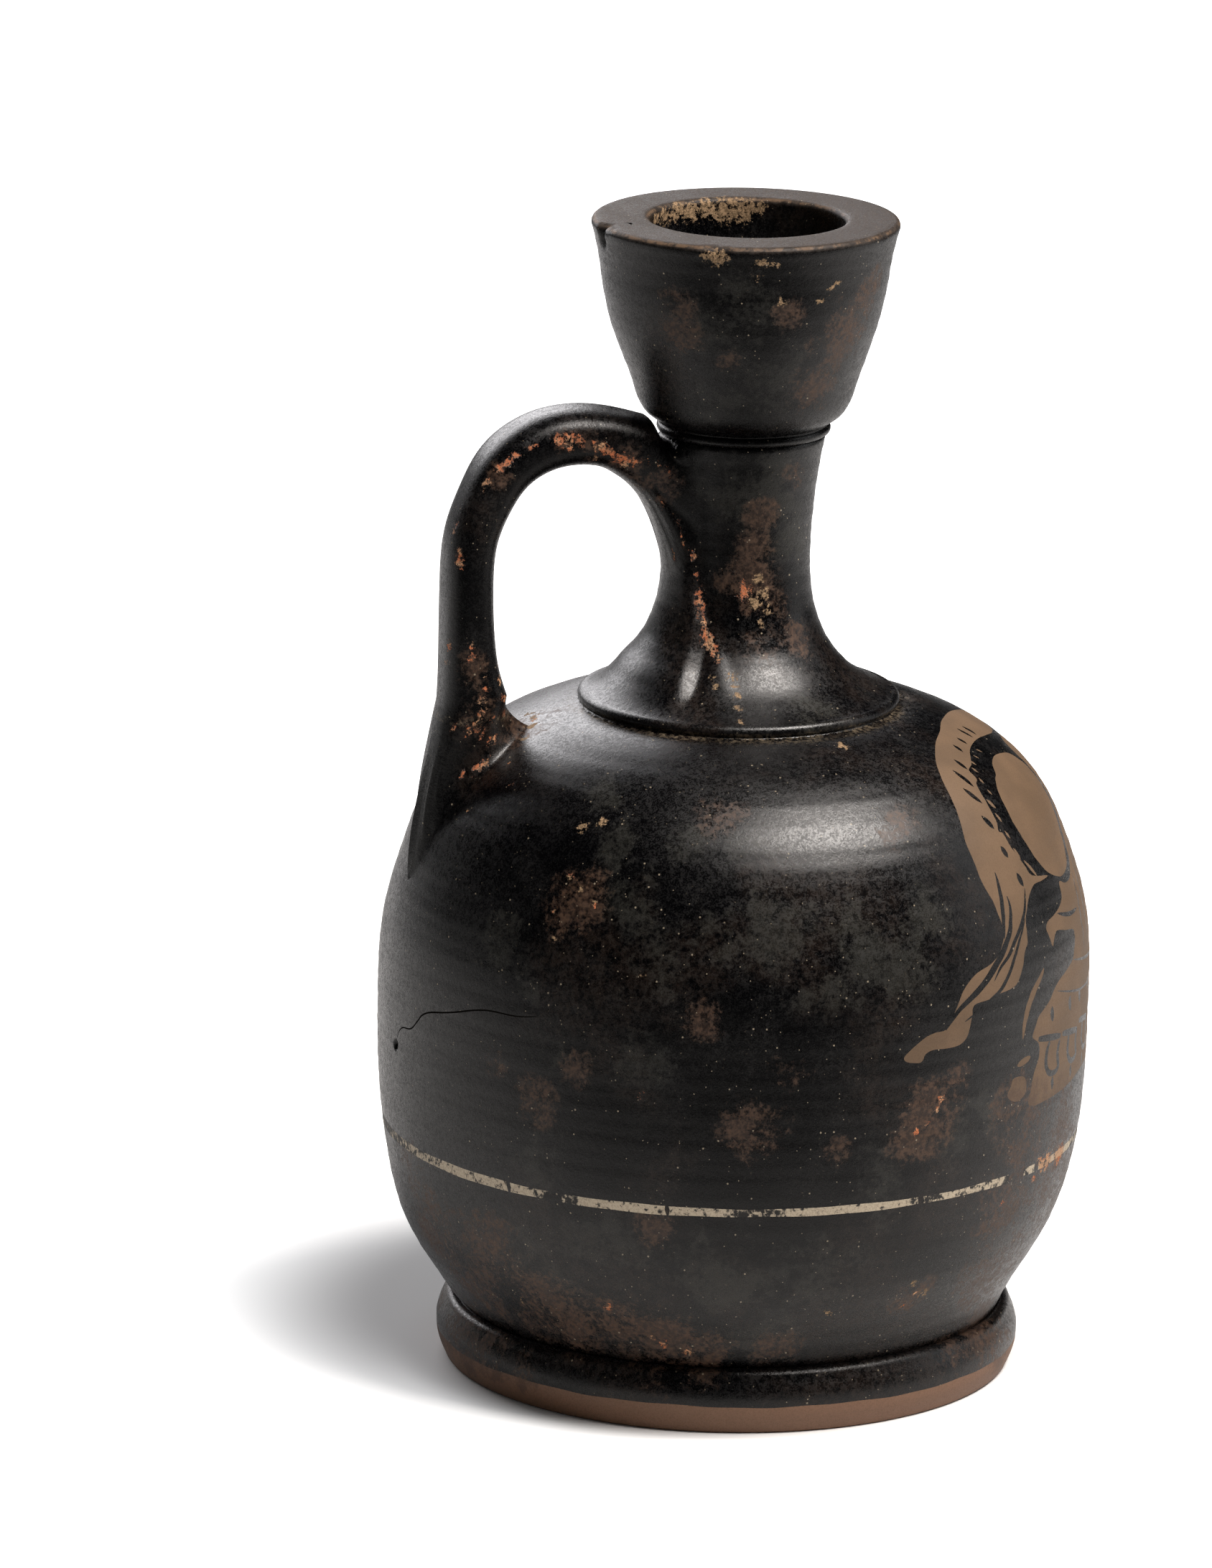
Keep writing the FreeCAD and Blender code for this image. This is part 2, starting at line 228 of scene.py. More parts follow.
class Profile:
    """The profile's rows, and any point of it by its length along the clay."""

    def __init__(self):
        points, columns = [], []
        for run, count in profile_runs():
            skip = 1 if points and math.dist(points[-1], run[0]) < 1e-6 else 0
            points.extend(run[skip:])
            columns.extend([count] * (len(run) - skip))
        self.points = np.array(points)
        self.columns = columns
        steps = np.linalg.norm(np.diff(self.points, axis=0), axis=1)
        self.length = np.concatenate([[0], np.cumsum(steps)])
        ahead = np.gradient(self.points, self.length, axis=0)
        ahead /= np.linalg.norm(ahead, axis=1)[:, None]
        self.normals = np.stack([ahead[:, 1], -ahead[:, 0]], axis=1)
        self.lip = int(np.argmax(self.points[:, 1]))
        self.foot = int(np.argmin(self.points[:, 1]))

    def along(self, z):
        """The length at height z on the outside."""
        outside = slice(self.foot, self.lip + 1)
        return np.interp(z, self.points[outside, 1], self.length[outside])

    def read(self, length):
        """Radius, height and the normal's two parts at a length."""
        return [np.interp(length, self.length, column)
                for column in (self.points[:, 0], self.points[:, 1], self.normals[:, 0], self.normals[:, 1])]


PROFILE = Profile()
DEGREE = 0.75
OUTSIDE_START = PROFILE.along(0.3)
OUTSIDE_END = PROFILE.length[PROFILE.lip]


def flat(turn, z):
    """A place on the outside as a point of the flat sheet that the skin is cut from."""
    return np.stack([np.asarray(turn, float) * DEGREE, PROFILE.along(np.asarray(z, float))], axis=-1)


def outline(places, parts=4):
    places = np.array(places, float)
    return closed_curve(flat(places[:, 0], places[:, 1]), parts)


def stroke(places, width, blunt=0.5):
    """A brush stroke's outline: a smooth line that swells to width and thins to its ends."""
    places = np.array(places, float)
    middle = spline(flat(places[:, 0], places[:, 1]), 0.5)
    ahead = np.gradient(middle, axis=0)
    ahead /= np.linalg.norm(ahead, axis=1)[:, None]
    side = np.stack([-ahead[:, 1], ahead[:, 0]], axis=1)
    share = np.linspace(0, 1, len(middle))
    half = width / 2 * np.clip(np.sin(np.pi * share), 0.02, 1)[:, None] ** blunt
    return np.concatenate([middle + side * half, (middle - side * half)[::-1]])


# Paint: shapes of one surface or another, each later one over the ones before

GLOSS, CLAY, PALE, CRACK = range(4)

SPOTTED_SKIN = [
    (24, 84.8), (33.3, 84.55), (42.8, 84.1), (51, 83), (55.2, 81.4), (56.8, 79.8), (58.1, 78),
    (59.6, 75.2), (59.4, 73), (58.8, 70.2), (57.4, 67.8), (56.8, 66), (56.4, 63.8), (58.1, 61.7),
    (60.6, 60.5), (63.9, 59.8), (66, 58.8), (67.4, 57.6), (68.8, 55.6), (70.7, 53.5), (72.8, 53.3),
    (74.8, 52.8), (77.1, 51.6), (78.4, 50.7), (78.1, 50.1), (76.8, 49.8), (75.3, 49.75), (74.5, 50.7),
    (73, 51.1), (70.5, 51), (68.2, 51.1), (66.7, 51.7), (66, 52.8), (65.4, 54.5), (65.2, 55.5),
    (64.4, 56), (61.6, 56.15), (58.9, 56.55), (56.2, 56.75), (54.4, 57.4), (52.8, 59.2), (51.8, 60.8),
    (50.7, 61.7), (50.4, 63), (50, 64.3), (48.8, 65.6), (47.1, 66.9), (44.7, 67.9), (41.6, 67.9),
    (38.8, 68.1), (44.3, 69), (45.8, 70.6), (47.9, 72.9), (48.6, 74.7), (49.5, 75.1), (48.8, 76),
    (48.3, 77.6), (47.6, 79), (46.4, 80.1), (44.8, 80.5), (44.3, 81.4), (41.3, 81.7), (39, 82.1),
    (35.2, 82.6), (30.1, 82.8), (23.9, 82.7), (16.7, 82.2), (10, 81.6), (2, 81.2), (-4, 82.2), (2, 83.6),
    (12, 84.5),
]
DRUM = [
    (36.5, 80.1), (33.6, 80.9), (28.8, 81.2), (24, 80.9), (19, 80.2), (16.5, 78.6), (16.2, 76.6),
    (17.8, 74.5), (21, 72.3), (23.4, 70.2), (25.2, 68.6), (28, 67.3), (32, 66.9), (34.8, 67.3),
    (37.5, 68.1), (39.6, 69.3), (41.4, 71), (42.9, 73.2), (43.6, 75.4), (43.1, 77), (41.8, 78.6),
    (38.8, 79.7),
]
DRESS = [
    (34.4, 66.6), (35.1, 65.6), (35.6, 64.7), (38, 63.9), (41, 63.4), (43.4, 63.1), (44.3, 62.3),
    (43.8, 61.3), (43, 59.9), (42.1, 60.8), (40.6, 61.5), (37, 60.9), (33.3, 60.3), (33.2, 59.3),
    (34, 58.1), (35.4, 56.8), (38.9, 55.9), (41.6, 55.3), (43.3, 54.7), (45.3, 53.3), (48.3, 52.1),
    (49.5, 50.9), (50.4, 49.5), (48.6, 48.4), (48.1, 46.9), (49, 45.4), (50, 44), (50.3, 42.5),
    (50.9, 40.9), (49.1, 40.25), (43.2, 40.3), (36.1, 40.6), (28.2, 41.1), (19, 40.9), (10, 40.6),
    (1, 41), (-8, 40.6), (-17, 41.2), (-19, 43.6), (-17.5, 49), (-15, 55), (-12.5, 61), (-11, 67),
    (-11.5, 73), (-12, 77), (-9.5, 79.8), (-3, 80.2), (5, 80.6), (11, 80.6), (14.2, 79.4), (14.9, 77.8),
    (14.8, 76), (16.6, 73.6), (19.8, 71.4), (22.3, 69.2), (24.4, 67.4), (27.6, 66), (31.5, 65.9),
]
TOE = [
    (55.2, 44.9), (52.6, 44.7), (51.7, 43.4), (52, 42.3), (54, 41.7), (56, 42.2), (56.7, 43),
    (55.9, 44.1),
]
SKIN_SPOTS = [
    ((20.5, 83.8), (22.2, 82.9)), ((24.8, 84), (26, 83)), ((32, 83.7), (32.8, 83)),
    ((38, 83.5), (38.6, 82.75)), ((45, 82.6), (44.4, 81.5)), ((49.3, 81.9), (47.9, 80)),
    ((51.5, 80.2), (49.5, 78.3)), ((52.1, 77.2), (50.4, 75.5)), ((50.9, 73.5), (49.9, 72)),
    ((48.9, 70), (48, 68.2)),
]
# Brush lines as (width, places)
SKIN_FOLDS = [
    (0.75, [(54.8, 70.9), (54.9, 69.1), (55.3, 66.9), (55.9, 65.1), (56.6, 63)]),
    (0.95, [(53.5, 67.8), (53.3, 66.5), (53.9, 65.2), (54.6, 64), (55.9, 62.8), (57.5, 61.5), (59.5, 60.2),
            (62.2, 58.5), (65.4, 56.9), (68.4, 55.4), (70.7, 53.4)]),
    (0.6, [(47.9, 68), (49, 66.2), (51.5, 64), (54.3, 62.2), (56.3, 60.8), (58.7, 59.6), (60.2, 58.3)]),
    (0.55, [(50, 64.6), (52.8, 62.3), (55.6, 59.6), (57, 58.3), (59, 56.9), (61.3, 56), (64.1, 55),
            (66.9, 54)]),
]
BAND_WINDOWS = [
    (0.7, [(47.4, 78.5), (46.4, 77.4)]), (0.5, [(47.6, 77), (47.2, 75.9)]),
    (0.5, [(47.7, 74.9), (47.1, 73.9)]), (0.5, [(47.4, 72.8), (46.3, 71.3)]),
    (0.5, [(45.3, 71), (42.6, 68.6)]), (0.6, [(40.3, 82), (39.7, 81.5)]),
    (0.6, [(42.4, 81.5), (42.2, 80.9)]), (0.6, [(43.8, 80.5), (43.8, 79.9)]),
    (0.5, [(44.5, 79.3), (44.5, 78.7)]), (0.5, [(36.6, 82.2), (35.9, 81.8)]),
    (0.5, [(32.4, 82.4), (31.4, 82)]),
]
DRESS_FOLDS = [
    (0.35, [(42.6, 54.1), (36, 52.8), (29, 51.9), (20, 51.4)]),
    (0.4, [(35, 56.7), (27, 55.4), (17, 54.6)]),
    (0.6, [(39.2, 63.4), (34, 62.4), (29, 62.2)]),
    (0.4, [(25, 66.4), (27, 62), (27.5, 56.6)]),
    (0.4, [(19.5, 70.4), (22.5, 64), (23, 56)]),
    (0.4, [(15.6, 73.8), (17.5, 66), (18, 57)]),
    (0.4, [(9, 79), (10.5, 70), (11, 56)]),
    (0.4, [(1, 79), (2.5, 68), (2, 55)]),
    (0.4, [(-6, 78), (-5, 66), (-6.5, 54)]),
]
TRAILING_LEG = [(46.8, 57.8), (48, 56.9), (49.9, 55.6), (51.6, 54), (52.6, 52.2), (53.2, 49.7)]
ANKLE = [(54.4, 46.4), (50.8, 47)]
DRESS_TURNS = [44.4, 37.1, 31.6, 24, 16, 8, 0, -8]
LOW_DOT_TURNS = [43.3, 35.3, 27.5, 19.5, 11.5, 3.5, -4.5, -12.5]
BORDER_START = 44.6
BORDER_PITCH = 8.6
BORDER_COUNT = 8
# Gaps in the pale line as (turn, width in degrees)
LINE_BREAKS = [(144.8, 0.3), (135.6, 1.6), (116.5, 0.25), (74, 0.6), (52.4, 3.4), (46.2, 0.9)]
# How much of the pale line is lost as (turn, share)
LINE_LOSS = [
    (24, 0.8), (35, 0.45), (46, 0.6), (49, 0.4), (50, 0.9), (55, 0.9), (56, 0.5), (63, 0.55), (70, 0.5),
    (71, 0.75), (76, 0.75), (77, 0.35), (97, 0.35), (98, 0.8), (106, 0.8), (108, 0.45), (117, 0.4),
    (131, 0.35), (132, 0.85), (139, 0.85), (140, 0.45), (157, 0.5), (170, 0.7), (187, 0.9),
]
CRACK_PATH = [
    (175.8, 45), (173.5, 47), (170, 47.6), (166.1, 50.1), (161, 51.5), (156, 52.5), (148.5, 53.9),
    (143.5, 54), (139.2, 54.5),
]


def dress_marks():
    """Black marks on the dress: a row of ovals, a battlement border, a row of dots and long fold lines."""
    made = []
    for turn in DRESS_TURNS:
        made.append(stroke([(turn, 52.4), (turn - 0.4, 50.4)], 0.95, 0.35))
    for turn in LOW_DOT_TURNS:
        made.append(stroke([(turn, 43), (turn - 0.1, 41.3)], 0.8, 0.35))
    for k in range(BORDER_COUNT):
        turn = BORDER_START - BORDER_PITCH * k
        top = 48.9 if k == 0 else 48
        made.append(stroke([(turn + 4, top), (turn - 3.9, top - 1)], 0.9, 0.15))
        made.append(stroke([(turn + 0.2, 47.9), (turn + 1.2, 46.2), (turn + 0.8, 44.3), (turn - 0.8, 43.5),
                            (turn - 3.2, 43.9), (turn - 2.9, 45.8), (turn - 3.7, 47.3)], 0.8, 0.15))
    return made + [stroke(path, width) for width, path in DRESS_FOLDS]


def line_edge(z, tremble, phase):
    """One edge of a brushed line that runs all round, with the hand's slow drift and small tremble."""
    turns = np.arange(SEAM_TURN, SEAM_TURN + 360.1, 1.5)
    drift = 0.12 * np.sin(np.radians(turns * 2 + phase))
    quick = np.sin(np.radians(turns * 11 + phase * 3)) + 0.7 * np.sin(np.radians(turns * 29 + phase * 7))
    return flat(turns, z + drift + tremble * quick)


def line_gap(turn, width):
    """A break through the pale line."""
    low, high, half = LINE_Z - 1.05, LINE_Z + 1.15, width / 2
    return outline([(turn - half, low), (turn - half - 0.3, LINE_Z - 0.05), (turn - half + 0.2, high),
                    (turn + half, high), (turn + half + 0.3, LINE_Z + 0.05), (turn + half - 0.2, low)], 2)


def painted_shapes():
    """All painted shapes on the flat sheet as (outline, surface)."""
    made = [(outline(shape), CLAY) for shape in (SPOTTED_SKIN, DRUM, DRESS, TOE)]
    made.append((stroke(TRAILING_LEG, 1.0), CLAY))
    made.append((stroke(ANKLE, 0.9, 0.35), CLAY))
    made += [(stroke(ends, 0.95, 0.6), GLOSS) for ends in SKIN_SPOTS]
    made += [(stroke(path, width), GLOSS) for width, path in SKIN_FOLDS]
    made += [(stroke(path, width, 0.4), CLAY) for width, path in BAND_WINDOWS]
    made += [(shape, GLOSS) for shape in dress_marks()]
    line_low = line_edge(LINE_Z - LINE_HALF, 0.05, 10)
    line_high = line_edge(LINE_Z + LINE_HALF, 0.05, 70)
    made.append((np.concatenate([line_low, line_high[::-1]]), PALE))
    made += [(line_gap(turn, width), GLOSS) for turn, width in LINE_BREAKS]
    under = np.array([[(SEAM_TURN + 360) * DEGREE, 0.0], [SEAM_TURN * DEGREE, 0.0]])
    made.append((np.concatenate([line_edge(BAND_TOP, 0.06, 200), under]), CLAY))
    made.append((stroke(CRACK_PATH, 0.22, 0.2), CRACK))
    return made


# Relief: what the hand and the years did to the turned form

# Clay smoothed down the neck from the upper root: its rise, and its half width in degrees at each height
TONGUE_RISE = 1.05
TONGUE_EDGE = ([87, 98, 102, 107, 112.5, 118], [49, 45, 37, 33, 27, 27])
SPREAD_RISE = 0.3
SPREAD_EDGE = ([87, 88, 96.3, 100, 106], [80, 77, 58, 47, 41])
VALLEY_DEPTH = 0.3
# Faint turning marks as (height, waves per millimetre in radians, phase)
TURNING_MARKS = [(0.018, 2.9, 0), (0.014, 1.3, 1), (0.012, 5.3, 0.4)]
# How the body leans from the axis and how slack its curve is, as swellings of (size, height, reach)
BODY_LEAN = [(0.5, 16, 9), (-0.15, 62, 12)]
MOUTH_LEAN = 0.2
LEAN_TURN = 196.0
SLACK = (0.28, 44, 19)
FLAT_SPOT = (0.35, 65, 8)
FLAT_SPOT_TURN = 200
FLAT_SPOT_HALF = 22
# Chips in the lip as (turn, half width, depth, reach down) and pits as (turn, height, radius, depth)
CHIPS = [(176.5, 1.3, 1.5, 3.2), (173, 2.4, 0.5, 1.2), (118, 2.2, 0.7, 1.5), (121.5, 1.2, 0.35, 0.9),
         (44, 1.6, 0.3, 0.8)]
CHIP_R = 19.4
CHIPPED_R = 16.5
PITS = [(176.1, 44.2, 0.75, 1.3), (101.5, 44.6, 0.3, 0.3), (134, 55, 0.25, 0.25), (158, 60.5, 0.3, 0.25)]


def turn_gap(turn, centre):
    return (turn - centre + 180) % 360 - 180


def swelling(z, size, height, reach):
    return size * np.exp(-((z - height) / reach) ** 2)


def smoothed_clay(turn, z):
    """The upper root's clay down the neck, with an edge on each side that spreads to the ledge."""
    away = np.abs(turn_gap(turn, HANDLE_TURN))
    down = smooth_step(87.6, 91, z) * (1 - smooth_step(119.8, 120.9, z))
    edge = np.interp(z, *TONGUE_EDGE)
    spread = np.interp(z, *SPREAD_EDGE)
    tongue = TONGUE_RISE * (1 - smooth_step(edge - 7, edge + 5, away))
    skin = SPREAD_RISE * (1 - smooth_step(spread - 5, spread + 5, away))
    low_part = smooth_step(88, 90, z) * (1 - smooth_step(98, 106, z))
    valley = VALLEY_DEPTH * np.exp(-((away - edge - 4) / 4) ** 2) * low_part
    return (tongue + skin) * down - valley


def unevenness(turn, z):
    """Turning marks, and how far body and mouth are from true."""
    marks = sum(height * np.sin(z * rate + phase) for height, rate, phase in TURNING_MARKS)
    lean = sum(swelling(z, *part) for part in BODY_LEAN) + MOUTH_LEAN * smooth_step(127, 136, z)
    lean = lean * smooth_step(8.3, 10, z) * np.cos(np.radians(turn - LEAN_TURN))
    slack = swelling(z, *SLACK) * smooth_step(8.3, 14, z)
    flattened = swelling(z, *FLAT_SPOT) * np.exp(-(turn_gap(turn, FLAT_SPOT_TURN) / FLAT_SPOT_HALF) ** 2)
    return marks + lean - slack - flattened


def relief(turn, length, z):
    """How far the clay stands out from the turned form, in millimetres, at each place."""
    outside = (length > OUTSIDE_START) & (length < OUTSIDE_END)
    return np.where(outside, smoothed_clay(turn, z) + unevenness(turn, z), 0)


def chips(turn, z, r):
    """How far the lip's edge is broken back towards the axis, in millimetres."""
    loss = np.zeros_like(turn)
    for centre, half, depth, reach in CHIPS:
        across = np.abs(np.radians(turn_gap(turn, centre))) * CHIP_R / half
        below = (LIP_TOP - z) / reach
        loss = np.maximum(loss, depth * np.clip(1 - across, 0, 1) * np.clip(1 - below, 0, 1))
    return np.where(r > CHIPPED_R, loss, 0)


def place(turn, length):
    """The 3-D points, in millimetres, of places given by turn and length along the clay."""
    turn = np.asarray(turn, float)
    r, z, out, up = PROFILE.read(np.asarray(length, float))
    rise = relief(turn, length, z)
    for pit_turn, pit_z, radius, depth in PITS:
        across = np.radians(turn_gap(turn, pit_turn)) * r
        away = np.hypot(across, length - PROFILE.along(pit_z)) / radius
        rise = rise - depth * np.clip(1 - away ** 2, 0, 1)
    reach = r + rise * out - chips(turn, z, r)
    angle = np.radians(turn)
    up = up * (1 - smooth_step(146.0, 147.8, z))
    return np.stack([reach * np.cos(angle), -reach * np.sin(angle), z + rise * up], axis=-1)


# Handle

ROOT_PARTS = 56
NECK_ROOT = {"top": 120.9, "bottom": 103.0, "middle": 114.0, "half_turn": 38.0}
BODY_ROOT = [(0, 65), (1.5, 66.5), (3.2, 69.5), (5, 73), (6.5, 76), (8.2, 78.4), (9, 80.4), (7.5, 82),
             (3.6, 83.4), (0, 84.2)]
STRAP_SQUARE = 2.7
# The directions in which the strap's ends run on into their roots
UPPER_PULL = np.array([[0.82, 0, -0.57]])
LOWER_PULL = np.array([[-0.21, 0, -0.98]])
# Strap stations from neck to shoulder as (distance from the axis, height, width, thickness)
STRAP = [
    (14.6, 119.9, 10.5, 8.4), (17.8, 121.2, 10.4, 7.5), (21.1, 121.75, 10.3, 7.3), (26.4, 121.1, 10.1, 7.2),
    (31.15, 118.1, 9.9, 6.85), (33.7, 114, 9.7, 6.3), (35.4, 109.6, 9.6, 6.15), (36, 103, 9.6, 6.15),
    (35.85, 95.5, 9.6, 6.6), (35.6, 92, 9.7, 7.2), (35.15, 88.4, 9.9, 8.5),
]


def section(rho, z, width, thick, outward, angle):
    """Points of the strap's section; angle 0 is its outer face and 90 its far side."""
    power = 2 / STRAP_SQUARE
    u = np.sign(np.cos(angle)) * np.abs(np.cos(angle)) ** power * thick / 2
    v = np.sign(np.sin(angle)) * np.abs(np.sin(angle)) ** power * width / 2
    return np.stack([-rho - u * outward[0], v, z + u * outward[1]], axis=-1)


def ring_angles():
    return np.linspace(0, 2 * np.pi, ROOT_PARTS, endpoint=False)


def neck_root_places():
    """The upper root's edge on the neck as (turn, z), matched to the section's angles."""
    angle = ring_angles()
    c, s = np.cos(angle), np.sin(angle)
    high = NECK_ROOT["top"] - NECK_ROOT["middle"]
    low = NECK_ROOT["middle"] - NECK_ROOT["bottom"]
    z = NECK_ROOT["middle"] + np.where(c > 0, np.abs(c) ** 0.75 * high, -np.abs(c) ** 0.9 * low)
    turn = HANDLE_TURN + np.sign(s) * np.abs(s) ** 0.8 * NECK_ROOT["half_turn"]
    return turn, z


def body_root_places():
    """The lower root's edge on the body as (turn, z), from its tip below round by the far side."""
    half = spline(BODY_ROOT, 0.1)
    steps = np.concatenate([[0], np.cumsum(np.linalg.norm(np.diff(half, axis=0), axis=1))])
    share = np.abs(((ring_angles() / np.pi + 1) % 2) - 1) ** 0.9
    off = np.interp(share * steps[-1], steps, half[:, 0])
    z = np.interp(share * steps[-1], steps, half[:, 1])
    side = np.where(np.sin(ring_angles()) >= 0, 1, -1)
    return HANDLE_TURN + side * off, z


def bridge(edge, lift, ring, pull, count, reach):
    """Rings of a smooth web from a root's edge on the clay to a strap section."""
    span = np.linalg.norm(ring - edge, axis=1)[:, None]
    first = edge + lift * span * reach[0]
    last = ring + pull * span * reach[1]
    rings = []
    for t in np.linspace(0, 1, count + 1)[1:-1]:
        back = 1 - t
        rings.append(back ** 3 * edge + 3 * t * back * (back * first + t * last) + t ** 3 * ring)
    return rings


def unit(vectors):
    return vectors / np.linalg.norm(vectors, axis=-1, keepdims=True)


def surface_normal(turn, length):
    step = 0.05
    across = place(turn + step, length) - place(turn - step, length)
    along = place(turn, length + step) - place(turn, length - step)
    return unit(np.cross(along, across))


def root_lift(turn, z, centre, over_share):
    """A root's edge on the clay, and the directions in which its web leaves: out of it and over the root."""
    length = PROFILE.along(z)
    edge = place(turn, length)
    middle = place(np.array([centre[0]]), np.array([PROFILE.along(centre[1])]))
    normal = surface_normal(turn, length)
    over = unit(middle - edge)
    over = unit(over - (over * normal).sum(axis=1)[:, None] * normal)
    return edge, unit(normal + over_share[:, None] * over)


def handle_rings():
    """The handle's rings from the neck's root to the body's, the roots' own edges first and last."""
    angle = ring_angles()
    lines = spline(STRAP, 0.8)
    ahead = unit(np.gradient(lines[:, :2], axis=0))
    rings = [section(*row, (-fall, along), angle) for row, (along, fall) in zip(lines, ahead)]
    outer_side = np.clip(np.cos(angle), 0, 1)
    turn, z = neck_root_places()
    edge, lift = root_lift(turn, z, (HANDLE_TURN, 113.5), 7 - 6.6 * outer_side ** 4)
    upper = [edge] + bridge(edge, lift, rings[0], UPPER_PULL, 10, (0.42, 0.3))
    turn, z = body_root_places()
    foot_edge, foot_lift = root_lift(turn, z, (HANDLE_TURN, 78.5), 0.9 + 2.8 * outer_side ** 4)
    lower = [foot_edge] + bridge(foot_edge, foot_lift, rings[-1], LOWER_PULL, 14, (0.3, 0.38))
    return upper + rings + lower[::-1]


# Mesh

# Finer patches of the sheet for paint, wear, roots and chips, as (low turn, high turn, low z, high z, step)
FINE_PATCHES = [
    (8, 82, 39, 85.2, 0.48),
    (82.2, 163.8, 10, 85.2, 0.66),
    (20, 82, 10, 38.6, 0.7),
    (164, 200, 10, 61.6, 0.75),
    (HANDLE_TURN - 16, HANDLE_TURN + 16, 62, 86, 0.6),
    (169, 181, 143.5, 148.55, 0.3),
    (172.5, 179.5, 42, 46.4, 0.25),
    (112, 126, 146, 148.55, 0.35),
]
SAME = 1e-3


def skin_sheet():
    """The grid's points on the flat sheet, and the two sides where the sheet meets itself."""
    points = []
    seam = (SEAM_TURN * DEGREE, (SEAM_TURN + 360) * DEGREE)
    for i, length in enumerate(PROFILE.length):
        count = PROFILE.columns[i]
        turns = SEAM_TURN + np.arange(count + 1) * 360 / count
        keep = np.ones(len(turns), bool)
        for low, high, z_low, z_high, _ in FINE_PATCHES:
            if PROFILE.along(z_low) < length < PROFILE.along(z_high):
                keep &= ~((turns > low) & (turns < high))
        points.append(np.stack([turns[keep] * DEGREE, np.full(keep.sum(), length)], axis=1))
    for low, high, z_low, z_high, step in FINE_PATCHES:
        radius = PROFILE.read(PROFILE.along((z_low + z_high) / 2))[0]
        turns = np.arange(low, high + 1e-6, math.degrees(step / radius))
        lengths = np.arange(PROFILE.along(z_low), PROFILE.along(z_high) + 1e-6, step)
        points.append(np.stack(np.meshgrid(turns * DEGREE, lengths), axis=-1).reshape(-1, 2))
    return np.concatenate(points), seam


def clear_of(points, shapes, gap):
    """The points that aren't within gap of an outline's corner points."""
    cells = set()
    for shape in shapes:
        for x, y in np.round(shape / gap).astype(int):
            cells.update((x + i, y + j) for i in (-1, 0, 1) for j in (-1, 0, 1))
    keys = np.round(points / gap).astype(int)
    return points[[(x, y) not in cells for x, y in keys]]


def inside(points, shape):
    """Which points lie within a closed outline."""
    low, high = shape.min(axis=0), shape.max(axis=0)
    near = np.all((points >= low) & (points <= high), axis=1)
    found = np.zeros(len(points), bool)
    x, y = points[near, 0], points[near, 1]
    odd = np.zeros(len(x), bool)
    for (ax, ay), (bx, by) in zip(shape, np.roll(shape, -1, axis=0)):
        if ay == by:
            continue
        crosses = ((ay > y) != (by > y)) & (x < (bx - ax) * (y - ay) / (by - ay) + ax)
        odd ^= crosses
    found[near] = odd
    return found


def cut_sheet():
    """The skin's triangles: flat points, faces, each one's surface, and the two root edges' points."""
    shapes = painted_shapes()
    roots = [flat(*neck_root_places()), flat(*body_root_places())]
    grid, seam = skin_sheet()
    outlines = [shape for shape, _ in shapes] + roots
    grid = clear_of(grid, outlines, 0.22)
    low, high = seam
    border = np.stack([np.full(len(PROFILE.length), low), PROFILE.length], axis=1)
    border = np.concatenate([border, border + [high - low, 0]])
    points = [Vector(p) for p in np.concatenate([grid, border])]
    edges = []
    for shape in outlines:
        first = len(points)
        points.extend(Vector(p) for p in shape)
        edges.extend((first + k, first + (k + 1) % len(shape)) for k in range(len(shape)))
    made = delaunay_2d_cdt(points, edges, [], 0, 1e-4, False)
    flat_points = np.array([tuple(p) for p in made[0]])
    faces = np.array([f for f in made[2] if len(f) == 3])
    corners = flat_points[faces]
    twice_area = np.abs(np.cross(corners[:, 1] - corners[:, 0], corners[:, 2] - corners[:, 0]))
    faces, corners = faces[twice_area > 1e-7], corners[twice_area > 1e-7]
    middles = corners.mean(axis=1)
    keep = ~(inside(middles, roots[0]) | inside(middles, roots[1]))
    faces, middles = faces[keep], middles[keep]
    surface = np.full(len(faces), GLOSS)
    for shape, kind in shapes:
        surface[inside(middles, shape)] = kind
    return flat_points, faces, surface, roots


def close_seam(flat_points):
    """Each flat point's index, where one on the sheet's far side takes its twin's on the near side."""
    near_side, far_side = SEAM_TURN * DEGREE, (SEAM_TURN + 360) * DEGREE
    twins = {}
    for i in np.nonzero(np.abs(flat_points[:, 0] - near_side) < SAME)[0]:
        twins[round(flat_points[i, 1], 3)] = i
    merged = np.arange(len(flat_points))
    for i in np.nonzero(np.abs(flat_points[:, 0] - far_side) < SAME)[0]:
        merged[i] = twins[round(flat_points[i, 1], 3)]
    return merged


def end_fan(flat_points, merged, length, centre):
    """Triangles from a centre to the ring of points at one end of the profile."""
    ring = [i for i in np.nonzero(np.abs(flat_points[:, 1] - length) < SAME)[0] if merged[i] == i]
    ring.sort(key=lambda i: flat_points[i, 0])
    return [(centre, first, second) for first, second in zip(ring, ring[1:] + ring[:1])]


def root_indices(flat_points, merged, root):
    gaps = np.linalg.norm(flat_points[None, :, :] - root[:, None, :], axis=2)
    return [int(merged[k]) for k in gaps.argmin(axis=1)]


def add_handle(vertices, faces, slots, first_ring, last_ring):
    """Joins the handle's rings to each other and to the two roots' own points on the skin."""
    chain = [first_ring]
    for ring in handle_rings()[1:-1]:
        chain.append(list(range(len(vertices), len(vertices) + len(ring))))
        vertices.extend(tuple(p) for p in ring)
    chain.append(last_ring)
    for near, far in zip(chain, chain[1:]):
        for k in range(ROOT_PARTS):
            after = (k + 1) % ROOT_PARTS
            faces.append((near[k], near[after], far[after], far[k]))
            slots.append(GLOSS)


